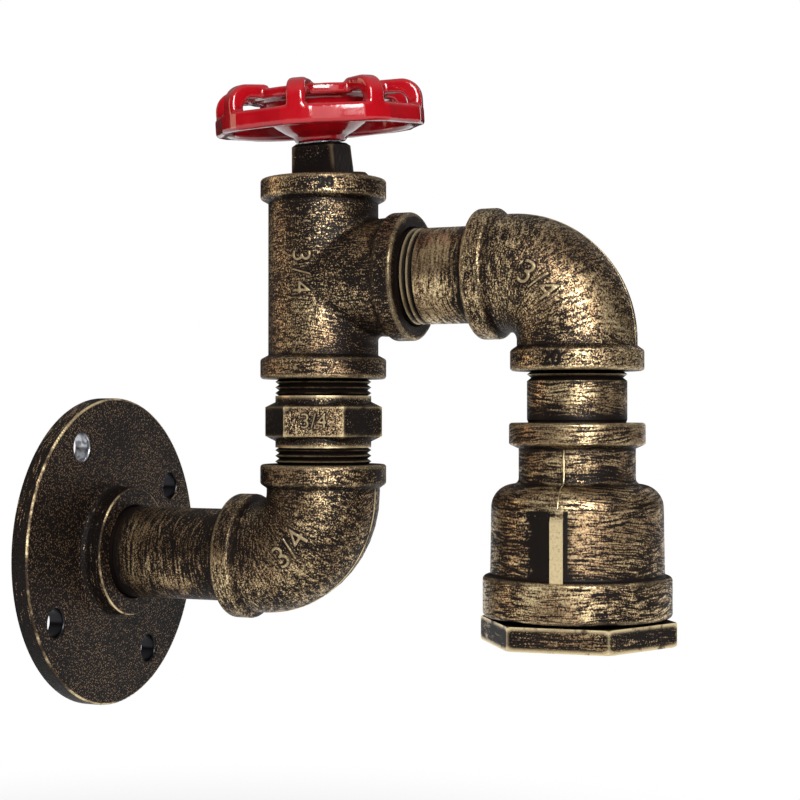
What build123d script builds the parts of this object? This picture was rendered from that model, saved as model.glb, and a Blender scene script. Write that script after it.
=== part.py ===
from build123d import *
import os
from math import atan2, cos, degrees, hypot, pi, radians, sin

os.makedirs("parts", exist_ok=True)

# Industrial pipe wall light, in millimetres.
# Origin: centre of the wall flange's back face. The wall is the plane y = 0,
# the light stands out along -Y, and +Z is up.

# ---- Driving dimensions ------------------------------------------------------------

# Where the pipe axes run, all in the plane x = 0
riser_y = -74.3      # up the riser
branch_z = 79.7      # out along the branch
drop_y = -150.1      # down to the lampholder

# Three-quarter-inch pipe
pipe_r = 13.45
pipe_bore_r = 10.85
thread_r = 13.22
thread_pitch = 1.814
thread_depth = 1.1
thread_fit = 0.05    # radial room between a male thread and its socket
engaged = 13.0       # how far a pipe goes into a fitting
mouth_bevel = 0.9

# Cast fittings
body_r = 15.75
bead_r = 18.0
bead_width = 5.8
bead_slope = 1.0
bead_round = 0.9
passage_r = 11.2
elbow_body_r = 16.2
bend_r = 18.6
elbow_reach = 26.9   # from the corner to a mouth on a vertical axis
side_reach = 27.4    # from the corner to a mouth on a level axis
tee_reach = 28.5
tee_branch_root_r = 15.5
tee_branch_r = 16.8  # by the bead
tee_blend = 2.4

# Wall flange
flange_r = 46.0
flange_t = 5.2
boss_r = 19.1
boss_height = 11.4
bolt_circle_r = 36.5
bolt_hole_r = 4.0
bolt_count = 4
bolt_turn = 30.3
bolt_mouth = 1.0

# Hex nipple in the riser
hex_nipple_r = 17.0
hex_nipple_height = 8.3
hex_nipple_turn = 45.0
hex_shoulder = 1.7   # height of the slopes from the hexagon to the collars
collar_r = 13.7
collar_height = 3.2
crest_r = 13.75

# Bell reducer over the lampholder
reducer_top_z = 38.9
reducer_bead_r = 18.3
neck_r = 15.7
neck_end_z = 22.4
bell_top_r = 23.0
bell_foot_r = 23.4
bell_round = 6.3
hem_r = 25.4
hem_top_z = -2.1
hem_bottom_z = -13.0
rib_width = 3.5
rib_r = 24.6
rib_top_z = 16.6
reducer_turn = 4.9
chamber_r = 19.4
large_thread_r = 20.9

# Hex bushing that closes the bell
bushing_flat_to_flat = 46.6
bushing_top_z = -13.9
bushing_bottom_z = -20.3
bushing_bore_r = 18.2
bushing_inner_z = 1.0
bushing_turn = 35.0

# Plug and handwheel, built on an axis that leans a little in its thread
lean_side = 5.5      # degrees towards -X
lean_back = 1.5      # degrees towards the wall
plug_disc_r = 12.9
plug_disc_rise = 1.5
head_foot = 13.4
head_top = 12.5
head_height = 9.0
wheel_r = 30.0
wheel_inner_r = 25.8
scallop_r = 80.0
scallop_depth = 1.3
rim_height = 5.35
arm_count = 8
arm_width = 5.2
arm_thickness = 3.9
arm_inner_r = 18.0
arm_round = 5.6
arm_turn = 13.2
wheel_height = 13.05
disc_r = 20.0
disc_top = 11.7
disc_thickness = 3.0
hub_r = 7.5
hub_drop = 3.1
hub_gap = 0.25      # between the hub's foot and the plug's head
hub_seat = 8.45      # where the screw's washer sits, above the rim's lower face
recess_r = 8.6
shoulder_r = 4.0
running_fit = 0.05
end_float = 0.1      # axial room each side of the handwheel

# E27 lampholder
cap_pitch = 3.62
cap_crest_r = 13.55
cap_root_r = 12.35
shell_t = 0.4
shell_mouth_z = -17.4
shell_turns = 5.5
porcelain_r = 17.9
porcelain_mouth_z = -19.4
porcelain_cavity_r = 14.3
porcelain_floor_z = 3.5
seat_r = 20.1
seat_z = (1.6, 6.0)
crown_r = 12.4
crown_z = 11.0
spring_pocket_r = 3.9
spring_pocket_z = 8.5
contact_r = 3.6
contact_z = (1.0, 2.8)
contact_travel = 1.2
stem_r = 2.0
strap_t = 0.8
pillar_r = 2.5
pillar_height = 5.0
pillar_place = (7.5, 3.5)
rivet_r = 1.3
rivet_place = (7.5, -4.0)

# Leads
lead_r = 1.1
core_r = 0.55
lead_gap = 2.7
lead_bend_r = 20.0


# ---- Helpers ------------------------------------------------------------------------

def axis_frame(origin, direction):
    """Frame whose Z runs along a pipe axis and whose X is the object's X."""
    return Plane(origin=origin, x_dir=(1, 0, 0), z_dir=direction)


def turn(frame, outline, mode=Mode.ADD):
    """Turn an outline of (radius, height) points about the frame's Z axis."""
    profile = Plane(origin=frame.origin, x_dir=frame.x_dir, z_dir=-frame.y_dir)
    with BuildSketch(profile) as section:
        with BuildLine():
            Polyline(*outline, close=True)
        make_face()
    revolve(section.sketch, axis=Axis(frame.origin, frame.z_dir), mode=mode)


def tube_along(points, radii, radius, mode=Mode.ADD):
    """Sweep a round section along straight runs joined by tangent arcs."""
    with BuildLine() as route:
        FilletPolyline(*points, radius=radii)
    direction = Vector(*points[1]) - Vector(*points[0])
    with BuildSketch(Plane(origin=points[0], z_dir=direction)) as section:
        Circle(radius)
    sweep(section.sketch, path=route.wire(), mode=mode)


def circles_of(radius):
    """Circular edges of one radius in the part being built."""
    round_edges = edges().filter_by(GeomType.CIRCLE)
    return round_edges.filter_by(lambda edge: abs(edge.radius - radius) < 0.005)


def along(centre, direction, distance):
    """Point at a distance from a centre."""
    return Vector(*centre) + Vector(*direction) * distance


def add_bead(centre, outward, reach, inner_r=body_r):
    """Raised bead round one mouth of a cast fitting."""
    foot = reach - bead_width
    turn(axis_frame(centre, outward), [
        (0, foot - bead_slope), (inner_r, foot - bead_slope), (bead_r - 0.4, foot),
        (bead_r, foot + 0.4), (bead_r, reach), (0, reach)])


def cut_socket(centre, outward, reach):
    """Threaded socket with a bevelled mouth."""
    socket_r = thread_r + thread_fit
    foot = reach - engaged - 0.6
    turn(axis_frame(centre, outward), [
        (0, foot), (socket_r, foot), (socket_r, reach - mouth_bevel),
        (socket_r + mouth_bevel, reach), (socket_r + mouth_bevel, reach + 1),
        (0, reach + 1)], Mode.SUBTRACT)


def reach_of(direction):
    """How far an elbow reaches from its corner to the mouth on that side."""
    return side_reach if direction[1] else elbow_reach


def bend(corner, directions, radius, mode=Mode.ADD):
    """Round bend with two short straight ends."""
    start, end = [Vector(*direction) for direction in directions]
    with BuildSketch(Plane(origin=along(corner, start, bend_r), z_dir=start)) as section:
        Circle(radius)
    centre = Vector(*corner) + (start + end) * bend_r
    revolve(section.sketch, axis=Axis(centre, end.cross(start)), revolution_arc=90, mode=mode)
    for direction in directions:
        turn(axis_frame(corner, direction), [
            (0, bend_r), (radius, bend_r), (radius, reach_of(direction)),
            (0, reach_of(direction))], mode)


def shape_elbow(corner, directions):
    """Cast elbow: bent body, a bead and a socket at each mouth, bent passage."""
    bend(corner, directions, elbow_body_r)
    for direction in directions:
        add_bead(corner, direction, reach_of(direction), elbow_body_r)
    fillet(circles_of(bead_r), bead_round)
    bend(corner, directions, passage_r, Mode.SUBTRACT)
    for direction in directions:
        cut_socket(corner, direction, reach_of(direction))


def thread_turns(start, end, crest):
    """Zigzag half section of exposed thread turns between two heights."""
    turns = max(1, round(abs(end - start) / thread_pitch))
    step = (end - start) / turns
    points = []
    for count in range(turns):
        points.append((crest - thread_depth, start + count * step))
        points.append((crest, start + (count + 0.5) * step))
    points.append((crest - thread_depth, end))
    return points


def shape_nipple(frame, length, first=engaged, shown=0.0):
    """Pipe nipple: threads in the sockets, exposed turns by the first, then plain pipe."""
    outline = [(pipe_bore_r, 0), (thread_r - mouth_bevel, 0), (thread_r, mouth_bevel),
               (thread_r, first - 0.1)]
    if shown:
        outline += thread_turns(first, first + shown, pipe_r)
        outline += [(pipe_r, first + shown + thread_pitch / 2)]
    else:
        outline += [(thread_r, first + 0.4), (pipe_r, first + 1.0)]
    outline += [(pipe_r, length - engaged - 0.8), (thread_r, length - engaged - 0.3),
                (thread_r, length - mouth_bevel), (thread_r - mouth_bevel, length),
                (pipe_bore_r, length)]
    turn(frame, outline)


def finish(builder, name):
    """Name a finished piece and write it to its file."""
    builder.part.label = name
    export_step(builder.part, f"parts/{name}.step")


# ---- Wall flange and the first pipe -------------------------------------------------

wall = axis_frame((0, 0, 0), (0, -1, 0))
socket_r = thread_r + thread_fit

with BuildPart() as wall_flange:
    turn(wall, [(0, 0), (flange_r, 0), (flange_r, flange_t), (boss_r, flange_t),
                (boss_r, boss_height), (0, boss_height)])
    fillet(circles_of(flange_r).sort_by(Axis.Y)[0], 0.9)
    fillet(circles_of(boss_r).sort_by(Axis.Y)[-1], 2.0)
    fillet(circles_of(boss_r).sort_by(Axis.Y)[0], 0.5)
    turn(wall, [(0, -1), (socket_r, -1), (socket_r, boss_height - mouth_bevel),
                (socket_r + mouth_bevel, boss_height),
                (socket_r + mouth_bevel, boss_height + 1), (0, boss_height + 1)],
         Mode.SUBTRACT)
    with BuildSketch(Plane(origin=(0, -flange_t, 0), x_dir=(1, 0, 0), z_dir=(0, -1, 0))):
        with PolarLocations(bolt_circle_r, bolt_count, start_angle=bolt_turn):
            Circle(bolt_hole_r)
    extrude(amount=-flange_t, mode=Mode.SUBTRACT)
    mouths = circles_of(bolt_hole_r).group_by(Axis.Y)[0]
    fillet(mouths, bolt_mouth)
finish(wall_flange, "wall_flange")

wall_nipple_back = 1.0
elbow_face_y = riser_y + side_reach
wall_nipple_length = -elbow_face_y + engaged - wall_nipple_back

with BuildPart() as wall_nipple:
    shape_nipple(axis_frame((0, -wall_nipple_back, 0), (0, -1, 0)), wall_nipple_length,
                 first=boss_height - wall_nipple_back)
finish(wall_nipple, "wall_nipple")

grommet_hole_r = 4.4
grommet_length = 5.0

with BuildPart() as wall_grommet:
    turn(axis_frame((0, -wall_nipple_back - 0.3, 0), (0, -1, 0)), [
        (grommet_hole_r, 0.6), (grommet_hole_r + 0.6, 0), (pipe_bore_r - 0.05, 0),
        (pipe_bore_r - 0.05, 1.6), (pipe_bore_r - 0.6, 2.2), (pipe_bore_r - 0.05, 2.8),
        (pipe_bore_r - 0.5, grommet_length), (grommet_hole_r, grommet_length)])
finish(wall_grommet, "wall_grommet")


# ---- Riser: elbow, hex nipple and tee -----------------------------------------------

riser_foot = (0, riser_y, 0)
tee_centre = (0, riser_y, branch_z)

with BuildPart() as lower_elbow:
    shape_elbow(riser_foot, [(0, 1, 0), (0, 0, 1)])
finish(lower_elbow, "lower_elbow")

tee_bottom_z = branch_z - tee_reach
nipple_foot_z = elbow_reach - engaged + 1
nipple_head_z = tee_bottom_z + engaged - 1
hex_centre_z = (elbow_reach + tee_bottom_z) / 2
hex_foot_z = hex_centre_z - hex_nipple_height / 2
hex_head_z = hex_centre_z + hex_nipple_height / 2

with BuildPart() as hex_nipple:
    with BuildSketch(Plane(origin=(0, riser_y, hex_foot_z))):
        RegularPolygon(hex_nipple_r, 6, rotation=hex_nipple_turn)
    extrude(amount=hex_nipple_height)
    for hex_end, sign in ((hex_head_z, 1), (hex_foot_z, -1)):
        for radius, height in ((hex_nipple_r, 0), (collar_r - 0.2, hex_shoulder)):
            with BuildSketch(Plane(origin=(0, riser_y, hex_end + sign * height))):
                RegularPolygon(radius, 6, rotation=hex_nipple_turn)
        loft()
    riser = axis_frame(riser_foot, (0, 0, 1))
    for hex_end, face, tip, sign in ((hex_head_z, tee_bottom_z, nipple_head_z, 1),
                                     (hex_foot_z, elbow_reach, nipple_foot_z, -1)):
        collar_end = hex_end + sign * collar_height
        outline = [(0, hex_end - sign), (collar_r, hex_end - sign), (collar_r, collar_end)]
        outline += thread_turns(collar_end, face, crest_r)
        outline += [(thread_r, face + sign * 0.1), (thread_r, tip - sign * mouth_bevel),
                    (thread_r - mouth_bevel, tip), (0, tip)]
        turn(riser, outline)
    turn(riser, [(0, 0), (pipe_bore_r, 0), (pipe_bore_r, branch_z), (0, branch_z)],
         Mode.SUBTRACT)
finish(hex_nipple, "hex_nipple")

tee_face_y = riser_y - tee_reach

with BuildPart() as pipe_tee:
    turn(axis_frame(tee_centre, (0, 0, 1)), [
        (0, -tee_reach), (body_r, -tee_reach), (body_r, tee_reach), (0, tee_reach)])
    branch_neck = tee_reach - bead_width - bead_slope
    turn(axis_frame(tee_centre, (0, -1, 0)), [
        (0, 0), (tee_branch_root_r, 0), (tee_branch_r, branch_neck),
        (tee_branch_r, tee_reach), (0, tee_reach)])
    saddle = edges().filter_by(GeomType.BSPLINE)
    fillet(saddle, tee_blend)
    for direction in ((0, 0, 1), (0, 0, -1)):
        add_bead(tee_centre, direction, tee_reach)
    add_bead(tee_centre, (0, -1, 0), tee_reach, tee_branch_r)
    fillet(circles_of(bead_r), bead_round)
    turn(axis_frame(tee_centre, (0, 0, 1)), [
        (0, -tee_reach), (passage_r, -tee_reach), (passage_r, tee_reach), (0, tee_reach)],
        Mode.SUBTRACT)
    turn(axis_frame(tee_centre, (0, -1, 0)), [
        (0, 0), (passage_r, 0), (passage_r, tee_reach), (0, tee_reach)], Mode.SUBTRACT)
    for direction in ((0, 0, 1), (0, 0, -1), (0, -1, 0)):
        cut_socket(tee_centre, direction, tee_reach)
finish(pipe_tee, "pipe_tee")


# ---- Plug and handwheel on the leaning axis -----------------------------------------

tee_top_z = branch_z + tee_reach
lean = Vector(-sin(radians(lean_side)), sin(radians(lean_back)), 1).normalized()
stem = Plane(origin=(0, riser_y, tee_top_z), x_dir=(1, 0, lean.X / -lean.Z), z_dir=lean)
head_end = plug_disc_rise + head_height
washer_t = 0.6
washer_r = 5.8       # small enough to hide in the hub's foot
hub_foot = head_end + hub_gap
wheel_foot = hub_foot + hub_drop
seat = wheel_foot + hub_seat
upper_washer_t = 0.8
screw_head_z = seat + end_float + upper_washer_t
screw_head_height = 3.4
screw_thread_r = 3.0
screw_thread_length = 7.0

with BuildPart() as stem_plug:
    plug_tip_z = tee_top_z - engaged + 1.5
    turn(axis_frame(riser_foot, (0, 0, 1)), [
        (0, plug_tip_z), (thread_r - mouth_bevel, plug_tip_z),
        (thread_r, plug_tip_z + mouth_bevel), (thread_r, tee_top_z - 1.6),
        (thread_r - 1.2, tee_top_z - 0.6), (0, tee_top_z - 0.6)])
    turn(stem, [(0, -2.0), (plug_disc_r - 1.5, -2.0), (plug_disc_r, -0.6),
                (plug_disc_r, plug_disc_rise - 0.7), (plug_disc_r - 0.7, plug_disc_rise),
                (0, plug_disc_rise)])
    with BuildSketch(stem.offset(plug_disc_rise - 0.5)):
        Rectangle(head_foot, head_foot)
    with BuildSketch(stem.offset(head_end)):
        Rectangle(head_top, head_top)
    loft()
    top_face = faces().filter_by(lambda face: abs(stem.to_local_coords(face.center()).Z
                                                  - head_end) < 0.01)
    chamfer(top_face.edges(), 0.9)
    with BuildSketch(stem.offset(head_end)):
        Circle(screw_thread_r + 0.05)
    extrude(amount=-(screw_thread_length + 1), mode=Mode.SUBTRACT)
finish(stem_plug, "stem_plug")

with BuildPart() as thrust_washer:
    turn(stem, [(shoulder_r + 0.1, head_end), (washer_r, head_end),
                (washer_r, head_end + washer_t), (shoulder_r + 0.1, head_end + washer_t)])
finish(thrust_washer, "thrust_washer")

wheel = stem.offset(wheel_foot)
arm_plane = Plane(origin=wheel.origin, x_dir=wheel.x_dir, z_dir=-wheel.y_dir)

with BuildPart() as wheel_arm:
    outer_round = arm_round
    inner_round = arm_round - arm_thickness + 1.2
    with BuildSketch(arm_plane):
        with BuildLine():
            inner_r = wheel_r - arm_thickness
            under = wheel_height - arm_thickness
            Line((inner_r, 0.6), (wheel_r, 0.6))
            Line((wheel_r, 0.6), (wheel_r, wheel_height - outer_round))
            RadiusArc((wheel_r, wheel_height - outer_round),
                      (wheel_r - outer_round, wheel_height), -outer_round)
            Line((wheel_r - outer_round, wheel_height), (arm_inner_r, wheel_height))
            Line((arm_inner_r, wheel_height), (arm_inner_r - 1.2, disc_top - 1.5))
            Line((arm_inner_r - 1.2, disc_top - 1.5), (arm_inner_r - 1.2, under))
            Line((arm_inner_r - 1.2, under), (inner_r - inner_round, under))
            RadiusArc((inner_r - inner_round, under), (inner_r, under - inner_round),
                      inner_round)
            Line((inner_r, under - inner_round), (inner_r, 0.6))
        make_face()
    extrude(amount=arm_width / 2, both=True)
    fillet(circles_of(outer_round), 1.1)
    fillet(circles_of(inner_round), 0.6)

with BuildPart() as handwheel:
    turn(wheel, [(wheel_inner_r, 0), (wheel_r, 0), (wheel_r, rim_height),
                 (wheel_inner_r, rim_height)])
    with BuildSketch(wheel):
        with PolarLocations(wheel_r - scallop_depth + scallop_r, arm_count,
                            start_angle=arm_turn + 180 / arm_count):
            Circle(scallop_r)
    extrude(amount=rim_height, mode=Mode.SUBTRACT)
    rim_edges = edges().filter_by(lambda edge: hypot(
        wheel.to_local_coords(edge.center()).X, wheel.to_local_coords(edge.center()).Y) > 5)
    rim_ends = rim_edges.filter_by(
        lambda edge: abs(edge.tangent_at(0.5).dot(wheel.z_dir)) < 0.1)
    fillet(rim_ends, 0.9)
    turn(wheel, [(0, disc_top - disc_thickness), (disc_r, disc_top - disc_thickness),
                 (disc_r, disc_top), (0, disc_top)])
    fillet(circles_of(disc_r), 0.6)
    turn(wheel, [(0, -hub_drop), (hub_r - 0.6, -hub_drop), (hub_r, 0.6 - hub_drop),
                 (hub_r, -1.6), (hub_r + 2.4, -0.4), (hub_r + 5.8, 1.9), (hub_r + 8.4, 5.2),
                 (hub_r + 9.4, disc_top - 1.6), (0, disc_top - 1.6)])
    for number in range(arm_count):
        spoke = wheel_arm.part.rotate(Axis(wheel.origin, wheel.z_dir),
                                      arm_turn + number * 360 / arm_count)
        add(spoke)
    turn(wheel, [(0, hub_seat), (recess_r, hub_seat), (recess_r + 1.0, disc_top + 1),
                 (0, disc_top + 1)], Mode.SUBTRACT)
    turn(wheel, [(0, -hub_drop - 1), (shoulder_r + running_fit, -hub_drop - 1),
                 (shoulder_r + running_fit, hub_seat + 1), (0, hub_seat + 1)], Mode.SUBTRACT)
    recess_top = washer_t + end_float - hub_gap - hub_drop
    turn(wheel, [(0, -hub_drop - 1), (washer_r + 0.2, -hub_drop - 1),
                 (washer_r + 0.2, recess_top), (0, recess_top)], Mode.SUBTRACT)
finish(handwheel, "handwheel")

with BuildPart() as wheel_washer:
    turn(stem, [(shoulder_r + 0.1, seat + end_float), (7.6, seat + end_float),
                (7.6, screw_head_z), (shoulder_r + 0.1, screw_head_z)])
finish(wheel_washer, "wheel_washer")

with BuildPart() as shoulder_screw:
    screw_foot = head_end - screw_thread_length
    screw_top = screw_head_z + screw_head_height
    turn(stem, [(0, screw_foot), (screw_thread_r, screw_foot), (screw_thread_r, head_end),
                (shoulder_r, head_end), (shoulder_r, screw_head_z), (6.2, screw_head_z),
                (6.2, screw_top - 1.2), (4.6, screw_top), (0, screw_top)])
    with BuildSketch(stem.offset(screw_top)):
        RegularPolygon(2.9, 6)
    extrude(amount=-2.2, mode=Mode.SUBTRACT)
finish(shoulder_screw, "shoulder_screw")


# ---- Branch, upper elbow and drop ---------------------------------------------------

drop_corner = (0, drop_y, branch_z)
branch_start_y = tee_face_y + engaged
branch_length = abs(drop_y + side_reach - tee_face_y) + 2 * engaged
drop_face_z = branch_z - elbow_reach
drop_length = drop_face_z - reducer_top_z + 2 * engaged

with BuildPart() as branch_nipple:
    shape_nipple(axis_frame((0, branch_start_y, branch_z), (0, -1, 0)), branch_length,
                 shown=2 * thread_pitch)
finish(branch_nipple, "branch_nipple")

with BuildPart() as upper_elbow:
    shape_elbow(drop_corner, [(0, 1, 0), (0, 0, -1)])
finish(upper_elbow, "upper_elbow")

with BuildPart() as drop_nipple:
    shape_nipple(axis_frame((0, drop_y, drop_face_z + engaged), (0, 0, -1)), drop_length,
                 shown=thread_pitch)
finish(drop_nipple, "drop_nipple")


# ---- Bell reducer and hex bushing ---------------------------------------------------

drop = axis_frame((0, drop_y, 0), (0, 0, 1))
reducer_bead_foot = reducer_top_z - 5.95
large_socket_r = large_thread_r + thread_fit
chamber_step_z = seat_z[1] + strap_t
chamber_shoulder_z = 13.0
neck_inner_z = 19.5
earth_y = -15.6
earth_pad_z = 15.0
earth_screw_r = 1.5

with BuildPart() as bell_reducer:
    turn(drop, [(0, hem_bottom_z), (hem_r, hem_bottom_z), (hem_r, hem_top_z),
                (bell_foot_r, hem_top_z), (bell_top_r, neck_end_z), (neck_r, neck_end_z),
                (neck_r, reducer_bead_foot - bead_slope),
                (reducer_bead_r - 0.4, reducer_bead_foot),
                (reducer_bead_r, reducer_bead_foot + 0.4),
                (reducer_bead_r, reducer_top_z), (0, reducer_top_z)])
    fillet(circles_of(bell_top_r), bell_round)
    fillet(circles_of(neck_r).sort_by(Axis.Z)[0], 1.6)
    fillet(circles_of(bell_foot_r), 0.8)
    fillet(circles_of(hem_r), 1.1)
    fillet(circles_of(reducer_bead_r).sort_by(Axis.Z)[-1], bead_round)
    for side in (0, 180):
        radial = drop.rotated((0, 0, reducer_turn + side))
        with BuildSketch(Plane(origin=radial.origin, x_dir=radial.x_dir,
                               z_dir=-radial.y_dir)):
            Polygon((21, hem_top_z - 2), (rib_r, hem_top_z - 2), (rib_r, rib_top_z - 3.2),
                    (bell_top_r - 0.2, rib_top_z), (21, rib_top_z), align=None)
        extrude(amount=rib_width / 2, both=True)
    turn(drop, [(0, hem_bottom_z - 1), (large_socket_r + 1.2, hem_bottom_z - 1),
                (large_socket_r + 1.2, hem_bottom_z), (large_socket_r, hem_bottom_z + 1.2),
                (large_socket_r, chamber_step_z), (chamber_r, chamber_step_z),
                (chamber_r, chamber_shoulder_z), (passage_r, neck_inner_z),
                (passage_r, reducer_top_z), (0, reducer_top_z)], Mode.SUBTRACT)
    with BuildSketch(Plane(origin=(0, drop_y + earth_y, earth_pad_z))):
        Circle(3.2)
    extrude(amount=5.5)
    with BuildSketch(Plane(origin=(0, drop_y + earth_y, earth_pad_z))):
        Circle(3.4)
    extrude(amount=-3.5, mode=Mode.SUBTRACT)
    with BuildSketch(Plane(origin=(0, drop_y + earth_y, earth_pad_z))):
        Circle(earth_screw_r + 0.05)
    extrude(amount=5.0, mode=Mode.SUBTRACT)
    cut_socket((0, drop_y, 0), (0, 0, 1), reducer_top_z)
finish(bell_reducer, "bell_reducer")

with BuildPart() as hex_bushing:
    corner_r = bushing_flat_to_flat / 2 / cos(pi / 6)
    with BuildSketch(Plane(origin=(0, drop_y, bushing_bottom_z))):
        RegularPolygon(corner_r, 6, rotation=bushing_turn)
    extrude(amount=bushing_top_z - bushing_bottom_z)
    turn(drop, [(0, bushing_bottom_z), (corner_r - 0.7, bushing_bottom_z),
                (corner_r, bushing_bottom_z + 0.4), (corner_r, bushing_top_z - 0.3),
                (corner_r - 0.5, bushing_top_z), (0, bushing_top_z)], Mode.INTERSECT)
    turn(drop, [(0, bushing_top_z - 1), (large_thread_r - 1.2, bushing_top_z - 1),
                (large_thread_r - 1.2, hem_bottom_z + 0.4), (large_thread_r, hem_bottom_z + 1.4),
                (large_thread_r, bushing_inner_z - 1.0),
                (large_thread_r - 1.0, bushing_inner_z), (0, bushing_inner_z)])
    turn(drop, [(0, bushing_bottom_z - 1), (bushing_bore_r + 1.2, bushing_bottom_z - 1),
                (bushing_bore_r + 1.2, bushing_bottom_z), (bushing_bore_r, bushing_bottom_z + 1.2),
                (bushing_bore_r, bushing_inner_z + 1), (0, bushing_inner_z + 1)], Mode.SUBTRACT)
finish(hex_bushing, "hex_bushing")


# ---- Lampholder ---------------------------------------------------------------------

tab_angle = degrees(atan2(rivet_place[1], rivet_place[0]))
rivet_places = [(side * rivet_place[0], drop_y + rivet_place[1]) for side in (1, -1)]
pillar_places = [(side * pillar_place[0], drop_y + pillar_place[1]) for side in (1, -1)]

with BuildPart() as lampholder_gasket:
    turn(drop, [(bushing_bore_r + 0.1, bushing_inner_z), (seat_r - 0.4, bushing_inner_z),
                (seat_r - 0.4, seat_z[0]), (bushing_bore_r + 0.1, seat_z[0])])
finish(lampholder_gasket, "lampholder_gasket")

with BuildPart() as lampholder_body:
    turn(drop, [(0, porcelain_mouth_z), (porcelain_r, porcelain_mouth_z),
                (porcelain_r, seat_z[0]), (seat_r, seat_z[0]), (seat_r, seat_z[1]),
                (crown_r + 0.6, seat_z[1]), (crown_r, seat_z[1] + 0.8), (crown_r, crown_z),
                (0, crown_z)])
    fillet(circles_of(porcelain_r).sort_by(Axis.Z)[0], 1.0)
    fillet(circles_of(seat_r), 0.6)
    fillet(circles_of(crown_r).sort_by(Axis.Z)[-1], 1.0)
    turn(drop, [(0, porcelain_mouth_z - 1), (porcelain_cavity_r + 0.8, porcelain_mouth_z - 1),
                (porcelain_cavity_r + 0.8, porcelain_mouth_z + 0.2),
                (porcelain_cavity_r, porcelain_mouth_z + 1.2),
                (porcelain_cavity_r, porcelain_floor_z), (spring_pocket_r, porcelain_floor_z),
                (spring_pocket_r, spring_pocket_z), (stem_r + 0.3, spring_pocket_z),
                (stem_r + 0.3, crown_z + 1), (0, crown_z + 1)], Mode.SUBTRACT)
    with BuildSketch(Plane(origin=(0, 0, porcelain_floor_z))):
        with Locations(*rivet_places):
            Circle(rivet_r + 0.1)
    extrude(amount=crown_z - porcelain_floor_z, mode=Mode.SUBTRACT)
    with BuildSketch(Plane(origin=(0, 0, porcelain_floor_z))):
        with Locations(rivet_places[1]):
            Circle(2.7)
    extrude(amount=1.8, mode=Mode.SUBTRACT)
finish(lampholder_body, "lampholder_body")

with BuildPart() as lampholder_shell:
    shell_top_z = shell_mouth_z + shell_turns * cap_pitch
    mean_r = (cap_crest_r + cap_root_r) / 2
    swing = (cap_crest_r - cap_root_r) / 2
    wave = [(mean_r + swing * sin(pi * step / 2), shell_mouth_z + step * cap_pitch / 4)
            for step in range(int(shell_turns * 4) + 1)]
    with BuildSketch(Plane(origin=drop.origin, x_dir=drop.x_dir, z_dir=-drop.y_dir)):
        with BuildLine():
            inner_wave = Spline(*wave)
            outer_wave = Spline(*[(radius + shell_t, height) for radius, height in wave])
            Line(inner_wave @ 0, outer_wave @ 0)
            Line(inner_wave @ 1, outer_wave @ 1)
        make_face()
    revolve(axis=Axis((0, drop_y, 0), (0, 0, 1)))
    turn(drop, [(11.4, porcelain_floor_z - 0.5), (mean_r + 0.2, porcelain_floor_z - 0.5),
                (mean_r + 0.2, porcelain_floor_z - 0.05), (11.4, porcelain_floor_z - 0.05)])
    turn(drop, [(mean_r - 0.3, shell_top_z - 0.4), (mean_r + 0.2, shell_top_z - 0.4),
                (mean_r + 0.2, porcelain_floor_z - 0.05),
                (mean_r - 0.3, porcelain_floor_z - 0.05)])
    tab_plane = Plane(origin=(0, drop_y, porcelain_floor_z - 0.5)).rotated((0, 0, tab_angle))
    with BuildSketch(tab_plane):
        with Locations((9.0, 0)):
            Rectangle(5.6, 6.4)
    extrude(amount=0.45)
    with BuildSketch(Plane(origin=(0, 0, porcelain_floor_z - 1))):
        with Locations(rivet_places[0]):
            Circle(rivet_r + 0.05)
    extrude(amount=2, mode=Mode.SUBTRACT)
finish(lampholder_shell, "lampholder_shell")

with BuildPart() as clamp_washer:
    turn(drop, [(14.2, seat_z[1] + 0.05), (seat_r - 0.1, seat_z[1] + 0.05),
                (seat_r - 0.1, chamber_step_z - 0.05), (14.2, chamber_step_z - 0.05)])
finish(clamp_washer, "clamp_washer")


def shape_terminal(side, reach):
    """Brass strap riveted to the crown, with a pillar that takes a lead from above."""
    place = (side * pillar_place[0], drop_y + pillar_place[1])
    with BuildSketch(Plane(origin=(0, drop_y, crown_z))) as strap:
        with Locations((side * 7.5, 0)):
            RectangleRounded(4.8, 13.0, 1.5)
        if reach:
            Circle(stem_r + 1.8)
            with Locations((side * 3.5, 0)):
                Rectangle(7.0, 4.2)
            Circle(stem_r + 0.08, mode=Mode.SUBTRACT)
        with Locations((side * rivet_place[0], rivet_place[1])):
            Circle(rivet_r + 0.05, mode=Mode.SUBTRACT)
    extrude(strap.sketch, amount=strap_t)
    with BuildSketch(Plane(origin=(*place, crown_z))) as post:
        Circle(pillar_r)
    extrude(post.sketch, amount=strap_t + pillar_height)
    with BuildSketch(Plane(origin=(*place, crown_z + strap_t + 0.6))) as well:
        Circle(core_r + 0.25)
    extrude(well.sketch, amount=pillar_height, mode=Mode.SUBTRACT)
    with BuildSketch(Plane(origin=(place[0], place[1], crown_z + strap_t + 3.0),
                           x_dir=(1, 0, 0), z_dir=(0, 1, 0))) as tapping:
        Circle(1.05)
    extrude(tapping.sketch, amount=pillar_r + 1, mode=Mode.SUBTRACT)


with BuildPart() as neutral_terminal:
    shape_terminal(1, reach=False)
finish(neutral_terminal, "neutral_terminal")

with BuildPart() as live_terminal:
    shape_terminal(-1, reach=True)
finish(live_terminal, "live_terminal")

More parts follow.
